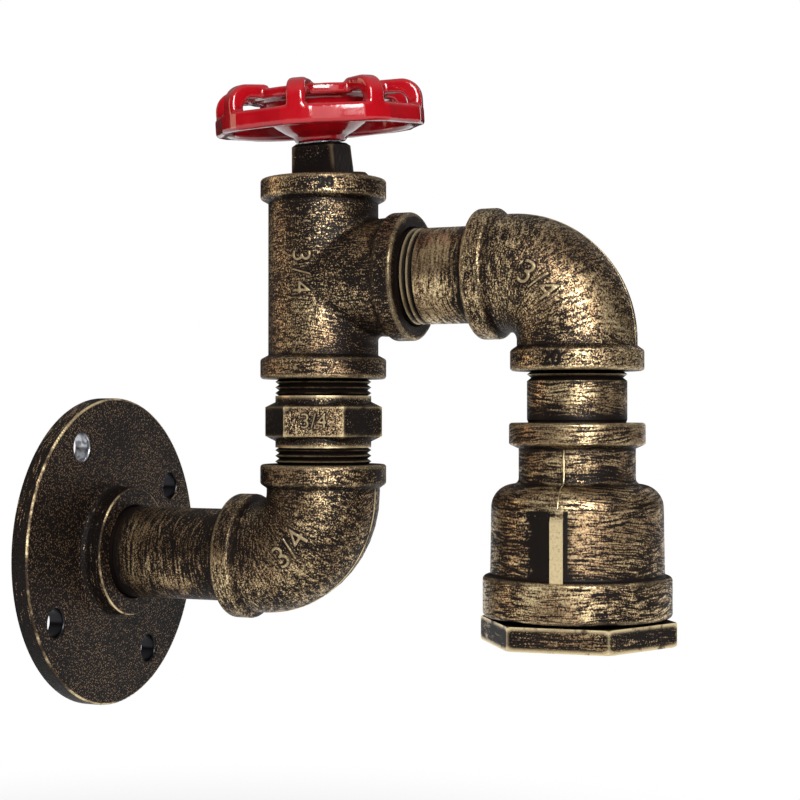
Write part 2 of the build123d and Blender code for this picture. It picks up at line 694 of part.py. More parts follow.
with BuildPart() as pillar_screws:
    for place in pillar_places:
        turn(Plane(origin=(place[0], place[1], crown_z + strap_t + 3.0), x_dir=(1, 0, 0),
                   z_dir=(0, 1, 0)), [
            (0, core_r + 0.05), (1.0, core_r + 0.05), (1.0, pillar_r + 0.1),
            (1.7, pillar_r + 0.1), (1.7, pillar_r + 1.3), (0, pillar_r + 1.3)])
        with BuildSketch(Plane(origin=(place[0], place[1] + pillar_r + 1.3,
                                       crown_z + strap_t + 3.0), x_dir=(1, 0, 0),
                               z_dir=(0, 1, 0))):
            Rectangle(4.0, 0.5)
        extrude(amount=-0.6, mode=Mode.SUBTRACT)
finish(pillar_screws, "pillar_screws")

with BuildPart() as terminal_rivets:
    for place, head_z in zip(rivet_places, (porcelain_floor_z - 0.5, porcelain_floor_z + 1.8)):
        turn(axis_frame((*place, 0), (0, 0, 1)), [
            (0, head_z - 0.9), (1.4, head_z - 0.9), (2.2, head_z - 0.3), (2.2, head_z),
            (rivet_r, head_z), (rivet_r, crown_z + strap_t), (2.1, crown_z + strap_t),
            (2.1, crown_z + strap_t + 0.4), (1.3, crown_z + strap_t + 1.0),
            (0, crown_z + strap_t + 1.0)])
finish(terminal_rivets, "terminal_rivets")

clip_z = crown_z + strap_t + 0.05
clip_t = 0.6
stem_top_z = clip_z + clip_t + 0.5

with BuildPart() as centre_contact:
    turn(drop, [(0, contact_z[0] - 0.5), (1.6, contact_z[0] - 0.4), (3.0, contact_z[0]),
                (contact_r, contact_z[0] + 0.6), (contact_r, contact_z[1]),
                (stem_r, contact_z[1]), (stem_r, clip_z), (stem_r - 0.4, clip_z),
                (stem_r - 0.4, clip_z + clip_t), (stem_r, clip_z + clip_t),
                (stem_r, stem_top_z - 0.3), (stem_r - 0.3, stem_top_z), (0, stem_top_z)])
finish(centre_contact, "centre_contact")

with BuildPart() as contact_clip:
    with BuildSketch(Plane(origin=(0, drop_y, clip_z))):
        Circle(3.0)
        Circle(stem_r - 0.35, mode=Mode.SUBTRACT)
        with Locations((0, 2.2)):
            Rectangle(2.4, 3.0, mode=Mode.SUBTRACT)
    extrude(amount=clip_t)
finish(contact_clip, "contact_clip")

spring_wire_r = 0.25
spring_r = 2.85
spring_turns = 4.0
spring_low_z = contact_z[1] + spring_wire_r + 0.02
spring_high_z = spring_pocket_z - spring_wire_r - 0.02

with BuildPart() as contact_spring:
    with BuildLine() as coil:
        Helix((spring_high_z - spring_low_z) / spring_turns, spring_high_z - spring_low_z,
              spring_r, center=(0, drop_y, spring_low_z))
    with BuildSketch(Plane(origin=coil.wire() @ 0, z_dir=coil.wire() % 0)):
        Circle(spring_wire_r)
    sweep(path=coil.wire(), is_frenet=True)
finish(contact_spring, "contact_spring")


# ---- Leads, held inside the pipes all the way ---------------------------------------

lead_back_y = -0.8
lead_split_z = 27.0


def pipe_route(across):
    """Corners of a lead's way from the wall to the neck of the bell."""
    return [(across, lead_back_y, 0), (across, riser_y, 0), (across, riser_y, branch_z),
            (across, drop_y, branch_z)]


def spread_route(across, place):
    """The same way, then out to a pillar beside the axis."""
    return pipe_route(across) + [
        (across, drop_y, lead_split_z), (place[0], place[1], lead_split_z - 7.2),
        (place[0], place[1], crown_z + strap_t + pillar_height + 0.1)]


pipe_bends = [lead_bend_r] * 3
lead_plans = {
    "neutral_lead": (spread_route(lead_gap, pillar_places[0]), pipe_bends + [6.0, 6.0]),
    "live_lead": (spread_route(-lead_gap, pillar_places[1]), pipe_bends + [6.0, 6.0]),
    "earth_lead": (pipe_route(0) + [(0, drop_y, earth_pad_z - 1.0),
                                    (0, drop_y + earth_y + 7.6, earth_pad_z - 1.0)],
                   pipe_bends + [7.7]),
}

with BuildPart() as neutral_lead:
    tube_along(*lead_plans["neutral_lead"], lead_r)
finish(neutral_lead, "neutral_lead")

with BuildPart() as live_lead:
    tube_along(*lead_plans["live_lead"], lead_r)
finish(live_lead, "live_lead")

with BuildPart() as earth_lead:
    tube_along(*lead_plans["earth_lead"], lead_r)
finish(earth_lead, "earth_lead")

with BuildPart() as lead_cores:
    for place in pillar_places:
        foot_z = crown_z + strap_t + 0.8
        with BuildSketch(Plane(origin=(*place, foot_z))):
            Circle(core_r)
        extrude(amount=crown_z + strap_t + pillar_height + 0.1 - foot_z)
finish(lead_cores, "lead_cores")

with BuildPart() as earth_lug:
    lug_z = earth_pad_z - 0.8
    with BuildSketch(Plane(origin=(0, drop_y + earth_y, lug_z))):
        Circle(2.9)
        with Locations((0, 2.6)):
            Rectangle(3.0, 3.4)
        Circle(earth_screw_r + 0.1, mode=Mode.SUBTRACT)
    extrude(amount=0.8)
    barrel_y = drop_y + earth_y + 3.6
    turn(Plane(origin=(0, barrel_y, earth_pad_z - 1.0), x_dir=(1, 0, 0), z_dir=(0, 1, 0)), [
        (lead_r + 0.02, 0.5), (lead_r + 0.62, 0.5), (lead_r + 0.62, 5.0), (lead_r + 0.02, 5.0)])
finish(earth_lug, "earth_lug")

with BuildPart() as earth_screw:
    turn(axis_frame((0, drop_y + earth_y, 0), (0, 0, 1)), [
        (0, lug_z - 1.8), (2.0, lug_z - 1.8), (2.6, lug_z - 1.2), (2.6, lug_z),
        (earth_screw_r, lug_z), (earth_screw_r, earth_pad_z + 4.4), (0, earth_pad_z + 4.4)])
    with BuildSketch(Plane(origin=(0, drop_y + earth_y, lug_z - 1.8))):
        Rectangle(0.6, 6.0)
    extrude(amount=0.8, mode=Mode.SUBTRACT)
finish(earth_screw, "earth_screw")
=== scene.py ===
# %% [markdown]
# # An industrial pipe wall light
# Threaded pipe fittings carry a lampholder, and a red valve wheel turns on a plug in the tee.
# The shapes and sizes come from the imported CAD frame. This file gives every piece its finish and
# adds what is too fine for the CAD: cast marks, mould seams and the wheel's thick enamel. It also
# puts a welded copy of the contact spring in place of the frame's own. Everything is in metres, in
# the frame's own axes: the wall is y = 0, the light stands out from it along -y, and z points up.

# %% Load the frame
import math

import bmesh
import bpy
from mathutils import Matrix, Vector


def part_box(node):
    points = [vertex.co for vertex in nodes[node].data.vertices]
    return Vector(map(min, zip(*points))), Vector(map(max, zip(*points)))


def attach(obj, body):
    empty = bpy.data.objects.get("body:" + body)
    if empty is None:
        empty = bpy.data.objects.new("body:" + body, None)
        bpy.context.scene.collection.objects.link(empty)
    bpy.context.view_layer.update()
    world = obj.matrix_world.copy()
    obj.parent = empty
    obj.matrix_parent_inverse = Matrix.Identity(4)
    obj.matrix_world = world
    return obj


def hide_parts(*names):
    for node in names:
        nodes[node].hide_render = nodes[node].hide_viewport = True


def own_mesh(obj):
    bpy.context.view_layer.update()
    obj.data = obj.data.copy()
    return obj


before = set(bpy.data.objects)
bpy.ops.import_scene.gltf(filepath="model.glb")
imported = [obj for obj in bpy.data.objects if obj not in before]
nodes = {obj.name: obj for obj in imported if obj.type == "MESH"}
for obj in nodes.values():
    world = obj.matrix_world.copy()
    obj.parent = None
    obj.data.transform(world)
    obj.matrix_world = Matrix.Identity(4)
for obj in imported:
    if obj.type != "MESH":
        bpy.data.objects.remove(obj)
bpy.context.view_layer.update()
MM = 0.001

# %% [markdown]
# ## Where things are
# The pipe runs follow three axes in the plane x = 0. Their places are read from the frame, so a
# piece that sits on a fitting finds it there. Both elbows bend round the same radius.


# %% Read the axes from the frame
def middle(node):
    """Centre of a CAD node's box."""
    low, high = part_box(node)
    return (low + high) / 2


riser_y = middle("hex_nipple").y
branch_z = middle("branch_nipple").z
drop_y = middle("drop_nipple").y
hex_middle = middle("hex_nipple")
BEND_R = 18.6 * MM
lower_bend = {"Centre Y": riser_y + BEND_R, "Centre Z": BEND_R, "Up": 1.0, "Radius": BEND_R}
upper_bend = {"Centre Y": drop_y + BEND_R, "Centre Z": branch_z - BEND_R, "Up": -1.0,
              "Radius": BEND_R}
print("riser", riser_y, "branch", branch_z, "drop", drop_y)

# %% [markdown]
# ## Camera
# The photograph looks almost level at the light from its left, from half a metre away, with a
# longish lens. The place and lens were fitted to the outlines of the fittings.

# %% Camera
camera_place = Vector((-0.45403, -0.29385, 0.04120))
camera_direction = Vector((0.91833, 0.39574, 0.00802))
camera_data = bpy.data.cameras.new("Photo camera")
camera_data.sensor_width = 36.0
camera_data.lens = 79.19
camera_data.clip_start = 0.01
camera = bpy.data.objects.new("Photo camera", camera_data)
camera.location = camera_place
camera.rotation_euler = camera_direction.to_track_quat("-Z", "Y").to_euler()
bpy.context.scene.collection.objects.link(camera)
bpy.context.scene.camera = camera
bpy.context.scene.view_settings.view_transform = "Standard"
print("camera at", list(camera_place), "lens", camera_data.lens)

# %% [markdown]
# ## Building node trees
# Every finish below is a node tree. These helpers place a node, fill its inputs and wire it, so a
# material reads as a short list of what it does.


# %% Node helpers
def put(tree, socket, value):
    """Link a socket's value, or set it."""
    if isinstance(value, bpy.types.NodeSocket):
        tree.links.new(value, socket)
    else:
        socket.default_value = value


def node(tree, kind, inputs=None, **settings):
    """Add a node with its settings and inputs."""
    made = tree.nodes.new(kind)
    for name, value in settings.items():
        setattr(made, name, value)
    for name, value in (inputs or {}).items():
        put(tree, made.inputs[name], value)
    return made


def calc(tree, operation, *values, clamp=False):
    """One Math node."""
    made = node(tree, "ShaderNodeMath", operation=operation, use_clamp=clamp)
    for socket, value in zip(made.inputs, values):
        put(tree, socket, value)
    return made.outputs[0]


def distance(tree, first, second):
    """How far a point is from zero, from its two coordinates."""
    return calc(tree, "SQRT", calc(tree, "ADD", calc(
        tree, "MULTIPLY", first, first), calc(tree, "MULTIPLY", second, second)))


def vector(tree, x, y, z):
    """Three numbers as one vector."""
    return node(tree, "ShaderNodeCombineXYZ", {"X": x, "Y": y, "Z": z}).outputs[0]


def split(tree, value):
    """A vector's X, Y and Z."""
    return node(tree, "ShaderNodeSeparateXYZ", {"Vector": value}).outputs


def noise(tree, place, scale=1.0, detail=2.0, roughness=0.5, distortion=0.0):
    """Noise value, from 0 to 1."""
    return node(tree, "ShaderNodeTexNoise", {
        "Vector": place, "Scale": scale, "Detail": detail, "Roughness": roughness,
        "Distortion": distortion}).outputs["Fac"]


def ramp(tree, value, low, high, out_low=0.0, out_high=1.0):
    """Smooth step from low to high."""
    return node(tree, "ShaderNodeMapRange", {
        "Value": value, "From Min": low, "From Max": high, "To Min": out_low,
        "To Max": out_high}, interpolation_type="SMOOTHSTEP").outputs[0]


def blend_colour(tree, factor, first, second):
    """Mix two colours."""
    made = node(tree, "ShaderNodeMix", data_type="RGBA")
    put(tree, made.inputs[0], factor)
    put(tree, made.inputs[6], first)
    put(tree, made.inputs[7], second)
    return made.outputs[2]


def bumped(tree, height, depth):
    """A surface raised by a height from 0 to 1, times a depth in metres."""
    return node(tree, "ShaderNodeBump", {
        "Height": height, "Distance": depth, "Strength": 1.0}).outputs["Normal"]


# %% Groups and materials
FLOAT = "NodeSocketFloat"
VECTOR = "NodeSocketVector"


def new_group(name, inputs, outputs):
    """A shader group with named sockets: its tree, what comes in and what goes out."""
    tree = bpy.data.node_groups.new(name, "ShaderNodeTree")
    for label, kind, value in inputs:
        socket = tree.interface.new_socket(label, in_out="INPUT", socket_type=kind)
        if value is not None:
            socket.default_value = value
    for label, kind in outputs:
        tree.interface.new_socket(label, in_out="OUTPUT", socket_type=kind)
    return tree, tree.nodes.new("NodeGroupInput"), tree.nodes.new("NodeGroupOutput")


def use_group(tree, group, inputs):
    """Place a group in a tree and fill its inputs."""
    made = tree.nodes.new("ShaderNodeGroup")
    made.node_tree = group
    for name, value in inputs.items():
        put(tree, made.inputs[name], value)
    return made


def new_material(name):
    """An empty node material: its tree and its Principled shader."""
    made = bpy.data.materials.new(name)
    made.use_nodes = True
    tree = made.node_tree
    return made, tree, tree.nodes["Principled BSDF"]


def position(tree):
    """Place on the piece, in metres."""
    return tree.nodes.new("ShaderNodeTexCoord").outputs["Object"]


# %% [markdown]
# ## The way along a bend
# The painter's brush ran round each pipe. Streaks that go round a straight pipe are easy: stretch
# a noise across the pipe. On an elbow the pipe turns, so this group works out how far along the
# bend a point is. Past either end of the bend it goes on counting straight.

# %% Group: way along a bend
bend_way, way_in, way_out = new_group("Way along a bend", [
    ("Position", VECTOR, None), ("Centre Y", FLOAT, 0.0), ("Centre Z", FLOAT, 0.0),
    ("Up", FLOAT, 1.0), ("Radius", FLOAT, 0.02)], [("Way", VECTOR)])
parts = split(bend_way, way_in.outputs["Position"])
out_y = calc(bend_way, "SUBTRACT", way_in.outputs["Centre Y"], parts["Y"])
out_z = calc(bend_way, "MULTIPLY", way_in.outputs["Up"], calc(
    bend_way, "SUBTRACT", way_in.outputs["Centre Z"], parts["Z"]))
in_y = calc(bend_way, "MAXIMUM", out_y, 0.0)
in_z = calc(bend_way, "MAXIMUM", out_z, 0.0)
turned = calc(bend_way, "MULTIPLY", way_in.outputs["Radius"], calc(
    bend_way, "ARCTAN2", in_z, in_y))
past_y = calc(bend_way, "SUBTRACT", in_y, out_y)
past_z = calc(bend_way, "SUBTRACT", in_z, out_z)
along = calc(bend_way, "SUBTRACT", calc(bend_way, "ADD", turned, past_y), past_z)
outward = distance(bend_way, in_y, in_z)
put(bend_way, way_out.inputs["Way"], vector(bend_way, along, parts["X"], outward))
print("group", bend_way.name)

# %% [markdown]
# ## Cast skin
# Iron poured in sand keeps the grain of the sand: shallow pits half a millimetre wide and slow
# waves between them. The group gives one height, for a Bump node, and the pits as a mask,
# because paint stays black in them.

# %% Group: cast skin
cast_skin, skin_in, skin_out = new_group("Cast skin", [
    ("Position", VECTOR, None), ("Grain Size", FLOAT, 0.5 * MM)],
    [("Height", FLOAT), ("Pits", FLOAT)])
grain_scale = calc(cast_skin, "DIVIDE", 0.5, skin_in.outputs["Grain Size"])
fine = noise(cast_skin, skin_in.outputs["Position"], grain_scale, 3.0, 0.6)
slow = noise(cast_skin, skin_in.outputs["Position"], calc(
    cast_skin, "MULTIPLY", grain_scale, 0.22), 2.0, 0.5)
height = calc(cast_skin, "ADD", calc(cast_skin, "MULTIPLY", fine, 0.7), calc(
    cast_skin, "MULTIPLY", slow, 0.5))
put(cast_skin, skin_out.inputs["Height"], height)
put(cast_skin, skin_out.inputs["Pits"], ramp(cast_skin, fine, 0.50, 0.40))
print("group", cast_skin.name)

# %% [markdown]
# ## Dry-brushed gold
# The finish is black all over, then gold wiped on with a nearly dry brush. Each bristle leaves a
# thin broken streak across the pipe, the brush misses whole patches, and the grain of the casting
# breaks the streaks into specks. Two layers of streaks lean opposite ways, as two strokes of a hand
# do, and a slow noise picks between them. Streaks, specks and patches are added up and cut at a
# level that says how much gold there is.

# %% Group: dry-brushed gold
SWAY = 1.8 * MM
SPECKS_PER_METRE = 2300.0
FIRST_SLANT = 0.16
SECOND_SLANT = -0.12
SECOND_WIDER = 1.5
SECOND_OFFSET = 40.0
PATCHES = 0.46
brushed_gold, brush_in, brush_out = new_group("Dry-brushed gold", [
    ("Position", VECTOR, None), ("Way", VECTOR, None), ("Streak Width", FLOAT, 0.4 * MM),
    ("Streak Length", FLOAT, 5 * MM), ("Patch Size", FLOAT, 9 * MM), ("Coverage", FLOAT, 0.5),
    ("Streaks", FLOAT, 1.0), ("Specks", FLOAT, 0.4)],
    [("Gold", FLOAT), ("Tone", FLOAT)])
way = split(brushed_gold, brush_in.outputs["Way"])
sway = calc(brushed_gold, "MULTIPLY", noise(
    brushed_gold, brush_in.outputs["Position"], 70.0, 1.0), SWAY)


def stroke_layer(slant, width_scale, offset):
    """One layer of bristle streaks that lean by a slant."""
    along = calc(brushed_gold, "ADD", calc(
        brushed_gold, "ADD", way["X"], sway), calc(
        brushed_gold, "MULTIPLY", way["Y"], slant))
    width = calc(brushed_gold, "MULTIPLY", brush_in.outputs["Streak Width"], width_scale)
    place = vector(
        brushed_gold,
        calc(brushed_gold, "ADD", calc(brushed_gold, "DIVIDE", along, width), offset),
        calc(brushed_gold, "DIVIDE", way["Y"], brush_in.outputs["Streak Length"]),
        calc(brushed_gold, "DIVIDE", way["Z"], brush_in.outputs["Streak Length"]))
    return noise(brushed_gold, place, 1.0, 3.0, 0.6)


def spread(value, amount):
    """How far a noise is from its middle, times an amount."""
    return calc(brushed_gold, "MULTIPLY", calc(brushed_gold, "SUBTRACT", value, 0.5), amount)


chooser = ramp(brushed_gold, noise(
    brushed_gold, brush_in.outputs["Position"], 95.0, 1.0), 0.44, 0.56)
streaks = node(brushed_gold, "ShaderNodeMix", {
    0: chooser, 2: stroke_layer(FIRST_SLANT, 1.0, 0.0),
    3: stroke_layer(SECOND_SLANT, SECOND_WIDER, SECOND_OFFSET)}).outputs[0]
patch_scale = calc(brushed_gold, "DIVIDE", 0.5, brush_in.outputs["Patch Size"])
patches = noise(brushed_gold, brush_in.outputs["Position"], patch_scale, 2.0, 0.5, 0.6)
specks = noise(brushed_gold, brush_in.outputs["Position"], SPECKS_PER_METRE, 2.0, 0.7)
level = calc(brushed_gold, "ADD", spread(streaks, brush_in.outputs["Streaks"]),
             spread(specks, brush_in.outputs["Specks"]))
level = calc(brushed_gold, "ADD", level, spread(patches, PATCHES))
level = calc(brushed_gold, "ADD", level, spread(brush_in.outputs["Coverage"], 0.5))
put(brushed_gold, brush_out.inputs["Gold"], ramp(brushed_gold, level, -0.025, 0.05))
put(brushed_gold, brush_out.inputs["Tone"], ramp(brushed_gold, calc(
    brushed_gold, "ADD", level, spread(specks, 0.4)), 0.02, 0.26))
print("group", brushed_gold.name)

# %% [markdown]
# ## Creases and rubbed edges
# A brush can't reach into the corner beside a bead, so it stays black. It presses hardest on an
# outer edge, so that turns bright. Two Ambient Occlusion nodes find both: the usual one looks out
# from the surface and darkens in corners, and one set to look inside darkens where the metal is
# thin, which is along an outer edge, even a rounded one.

# %% Group: creases and edges
relief, relief_in, relief_out = new_group("Creases and edges", [
    ("Crease Reach", FLOAT, 6 * MM), ("Edge Reach", FLOAT, 1.8 * MM)],
    [("Open", FLOAT), ("Edge", FLOAT)])
shelter = node(relief, "ShaderNodeAmbientOcclusion", {
    "Distance": relief_in.outputs["Crease Reach"]}, samples=8)
thinness = node(relief, "ShaderNodeAmbientOcclusion", {
    "Distance": relief_in.outputs["Edge Reach"]}, samples=8, inside=True, only_local=True)
open_surface = ramp(relief, shelter.outputs["AO"], 0.60, 0.96)
thin = ramp(relief, calc(relief, "SUBTRACT", 1.0, thinness.outputs["AO"]), 0.12, 0.42)
put(relief, relief_out.inputs["Open"], open_surface)
put(relief, relief_out.inputs["Edge"], calc(relief, "MULTIPLY", thin, open_surface))
print("group", relief.name)

# %% [markdown]
# ## Antique bronze
# One function makes the finish for each fitting, because each has its own brush direction and its
# own amount of gold. The gold is a metal and the black under it is paint, so the gold mask drives
# colour, metal and roughness together. Creases and pits take gold away, and rubbed edges add it.

# %% Antique bronze
BLACK = (0.002, 0.0018, 0.0018, 1.0)
UMBER = (0.009, 0.005, 0.0035, 1.0)
GOLD = (0.90, 0.73, 0.42, 1.0)
TAN = (0.25, 0.148, 0.075, 1.0)
CREASE_LOSS = 0.9
PIT_LOSS = 0.7
ROUGH_PAINT = 0.50
SMOOTH_GOLD = 0.33
DULL_SHEEN = 0.12


def way_of(tree, place, run):
    """The brush's frame: along the pipe first, then across it."""
    if isinstance(run, dict):
        return use_group(tree, bend_way, {"Position": place, **run}).outputs["Way"]
    parts = split(tree, place)
    others = [axis for axis in "XYZ" if axis != run]
    return vector(tree, parts[run], parts[others[0]], parts[others[1]])


def bronze(name, run, coverage=0.5, streaks=1.0, specks=0.4, width=0.5 * MM, length=6 * MM,
           grain=0.5 * MM, depth=0.05 * MM, patch=9 * MM, rub=1.1, lines=None):
    """Antique bronze brushed across a run, which is an axis or a bend.

    Coverage is a number or a function of the place.
    """
    made, tree, shader = new_material(name)
    place = position(tree)
    skin = use_group(tree, cast_skin, {"Position": place, "Grain Size": grain})
    edges = use_group(tree, relief, {})
    cover = coverage(tree, place) if callable(coverage) else coverage
    open_cover = calc(tree, "ADD", calc(tree, "SUBTRACT", cover, CREASE_LOSS), calc(
        tree, "MULTIPLY", edges.outputs["Open"], CREASE_LOSS))
    brushed = use_group(tree, brushed_gold, {
        "Position": place, "Way": way_of(tree, place, run), "Streak Width": width,
        "Streak Length": length, "Patch Size": patch, "Coverage": open_cover,
        "Streaks": streaks, "Specks": specks})
    pitted = calc(tree, "MULTIPLY", brushed.outputs["Gold"], calc(
        tree, "SUBTRACT", 1.0, calc(tree, "MULTIPLY", skin.outputs["Pits"], PIT_LOSS)))
    rubbed = calc(tree, "MULTIPLY", edges.outputs["Edge"], ramp(
        tree, noise(tree, place, 210.0, 3.0, 0.6), 0.30, 0.50, 0.30, rub), clamp=True)
    gold = calc(tree, "MAXIMUM", pitted, rubbed, clamp=True)
    if lines:
        bright_line, black_line = lines(tree, place)
        rubbed = calc(tree, "MAXIMUM", rubbed, bright_line)
        gold = calc(tree, "MULTIPLY", calc(tree, "MAXIMUM", gold, bright_line), calc(
            tree, "SUBTRACT", 1.0, black_line))
    ground = blend_colour(tree, noise(tree, place, 120.0, 2.0), BLACK, UMBER)
    drift = ramp(tree, noise(tree, place, 48.0, 2.0), 0.36, 0.62, 0.35, 1.15)
    bright = calc(tree, "MAXIMUM", calc(
        tree, "MULTIPLY", brushed.outputs["Tone"], drift), rubbed, clamp=True)
    metal = blend_colour(tree, bright, TAN, GOLD)
    colour = blend_colour(tree, gold, ground, metal)
    relief_height = calc(tree, "ADD", skin.outputs["Height"], calc(
        tree, "MULTIPLY", brushed.outputs["Tone"], 0.25))
    put(tree, shader.inputs["Base Color"], colour)
    put(tree, shader.inputs["Metallic"], gold)
    put(tree, shader.inputs["Roughness"], ramp(
        tree, gold, 0.0, 1.0, ROUGH_PAINT, SMOOTH_GOLD))
    put(tree, shader.inputs["Normal"], bumped(tree, relief_height, depth))
    shader.inputs["Specular IOR Level"].default_value = DULL_SHEEN
    return made


def finish_node(name, material):
    """Give a CAD node its material."""
    slots = nodes[name].data.materials
    slots.clear()
    slots.append(material)


# %% [markdown]
# ## Lines on the bell
# Two fittings have a pattern of their own. The painter rubbed the bell's ribs bright, missed a
# patch beside each, and left the corners along the ribs and over the hem black. The pattern
# follows the bell's shape, so plain geometry places it.

# %% Lines on the bell
RIB_DEGREES = 4.9
RIB_TURN = math.radians(RIB_DEGREES)
RIB_HALF = 1.75 * MM
RIB_TOP = 16.6 * MM
BELL_R = 23.4 * MM
HEM_TOP = -2.1 * MM
MISSED = 7.6 * MM
MISSED_WAVER = 15 * MM
MISSED_FADE = 1.6 * MM


def band(tree, value, low, high, soft):
    """One between two levels, fading over a soft width outside them."""
    return calc(tree, "MULTIPLY", ramp(tree, value, low - soft, low),
                ramp(tree, value, high + soft, high))


def bell_lines(tree, place):
    """Gold on the ribs, black in the corners beside them and over the hem."""
    parts = split(tree, place)
    across_y = calc(tree, "SUBTRACT", parts["Y"], drop_y)
    out = calc(tree, "ADD", calc(tree, "MULTIPLY", parts["X"], math.cos(RIB_TURN)), calc(
        tree, "MULTIPLY", across_y, math.sin(RIB_TURN)))
    aside = calc(tree, "SUBTRACT", calc(tree, "MULTIPLY", across_y, math.cos(RIB_TURN)), calc(
        tree, "MULTIPLY", parts["X"], math.sin(RIB_TURN)))
    aside = calc(tree, "MULTIPLY", aside, calc(tree, "SIGN", out))
    radius = distance(tree, out, aside)
    on_wall = ramp(tree, radius, BELL_R + 0.7 * MM, BELL_R + 0.4 * MM)
    height = band(tree, parts["Z"], HEM_TOP, RIB_TOP - 0.6 * MM, 0.5 * MM)
    wavy = calc(tree, "ADD", aside, calc(tree, "MULTIPLY", calc(
        tree, "SUBTRACT", noise(tree, place, 330.0, 5.0, 0.75), 0.5), MISSED_WAVER))
    missed = band(tree, wavy, -MISSED, -RIB_HALF, MISSED_FADE)
    corner = band(tree, aside, RIB_HALF - 0.1 * MM, RIB_HALF + 0.8 * MM, 0.3 * MM)
    beside = calc(tree, "MULTIPLY", calc(tree, "MAXIMUM", missed, corner), calc(
        tree, "MULTIPLY", height, on_wall))
    over_hem = calc(tree, "MULTIPLY", band(
        tree, parts["Z"], HEM_TOP - 0.2 * MM, HEM_TOP + 0.6 * MM, 0.4 * MM), on_wall)
    rib = calc(tree, "MULTIPLY", ramp(tree, radius, BELL_R + 0.5 * MM, BELL_R + 0.9 * MM), calc(
        tree, "MULTIPLY", height, band(tree, aside, -RIB_HALF, RIB_HALF, 0.1 * MM)))
    worn = ramp(tree, noise(tree, place, 1400.0, 4.0, 0.7), 0.32, 0.52, 0.75, 1.0)
    return calc(tree, "MULTIPLY", rib, worn), calc(tree, "MAXIMUM", beside, over_hem)


# %% [markdown]
# ## Flats of the hexagon
# The brush passed over two flats of the hex nipple, the front one and the one behind it, and left
# the other four almost black. Which way a flat looks tells them apart.

# %% Flats of the hexagon
HEX_FACE = math.radians(195.0)
HEX_HALF = 4.3 * MM
THREAD_GOLD = 0.40
DARK_FLAT_GOLD = 0.16
BRUSHED_FLAT_MORE = 0.44
hex_out = Vector((math.cos(HEX_FACE), math.sin(HEX_FACE), 0.0))


def hex_cover(tree, place):
    """How much gold the hex nipple takes: most on two flats, least on the other four."""
    geometry = tree.nodes.new("ShaderNodeNewGeometry")
    facing = node(tree, "ShaderNodeVectorMath", operation="DOT_PRODUCT")
    tree.links.new(geometry.outputs["True Normal"], facing.inputs[0])
    facing.inputs[1].default_value = hex_out
    brushed = ramp(tree, calc(tree, "ABSOLUTE", facing.outputs["Value"]), 0.90, 0.97)
    parts = split(tree, place)
    hexagon = band(tree, parts["Z"], hex_middle.z - HEX_HALF, hex_middle.z + HEX_HALF, 0.2 * MM)
    flats = calc(tree, "ADD", DARK_FLAT_GOLD, calc(
        tree, "MULTIPLY", brushed, BRUSHED_FLAT_MORE))
    return calc(tree, "ADD", calc(tree, "MULTIPLY", hexagon, flats), calc(
        tree, "MULTIPLY", calc(tree, "SUBTRACT", 1.0, hexagon), THREAD_GOLD))


# %% [markdown]
# ## Bronze for each fitting
# The castings have coarse grain and short broken streaks. The turned pipes are smoother, with more
# gold. The figures and the black round them have a bronze of their own.

# %% Bronze for each fitting
CASTING = {"streaks": 0.8, "width": 0.4 * MM, "length": 3 * MM, "depth": 0.09 * MM,
           "grain": 0.6 * MM}
bronzes = {
    "wall_nipple": bronze("Bronze wall nipple", "Y", coverage=0.48, streaks=0.9, specks=0.8,
                          depth=0.03 * MM),
    "lower_elbow": bronze("Bronze lower elbow", lower_bend, coverage=0.45, specks=0.9, **CASTING),
    "hex_nipple": bronze("Bronze hex nipple", "Z", coverage=hex_cover, streaks=0.4, specks=1.3,
                         depth=0.06 * MM),
    "pipe_tee": bronze("Bronze tee", "Z", coverage=0.42, specks=1.0, **CASTING),
    "branch_nipple": bronze("Bronze branch nipple", "Y", coverage=0.56, streaks=0.9, specks=0.7,
                            depth=0.03 * MM),
    "upper_elbow": bronze("Bronze upper elbow", upper_bend, coverage=0.52, specks=0.9, **CASTING),
    "drop_nipple": bronze("Bronze drop nipple", "Z", coverage=0.54, streaks=1.1, specks=0.6,
                          width=0.4 * MM, depth=0.03 * MM),
    "bell_reducer": bronze("Bronze bell", "Z", coverage=0.52, streaks=1.2, specks=0.6,
                           width=0.4 * MM, depth=0.04 * MM, lines=bell_lines),
    "hex_bushing": bronze("Bronze bushing", "Z", coverage=0.32, streaks=1.0, specks=0.7, rub=1.3),
}
mark_bronze = bronze("Bronze of the marks", "Z", coverage=0.46, streaks=0.4, specks=1.2, rub=0.5)
mark_black = bronze("Black round the marks", "Z", coverage=0.02, streaks=0.4, specks=0.8, rub=0.0)
for name, material in bronzes.items():
    finish_node(name, material)
print("bronze on", len(bronzes), "fittings")

# %% [markdown]
# ## Wall flange
# The flange's face was left rough: an orange-peel of round bumps under a millimetre across,
# black-brown, with gold only on the tops of some bumps, and its two round corners rubbed. The walls
# of its holes are dark, apart from one that a screw has scuffed to bare steel. The holes repeat
# every quarter turn, so the angle is folded into one quarter and one hole is described there.

# %% Masks for the flange
HOLE_CIRCLE = 36.5 * MM
HOLE_R = 4.0 * MM
HOLE_TURN = math.radians(30.3)
RIM_LINE = {"radius": 45.74 * MM, "height": 4.94 * MM, "width": 0.58 * MM}
BOSS_LINE = {"radius": 18.95 * MM, "height": 11.25 * MM, "width": 0.50 * MM}


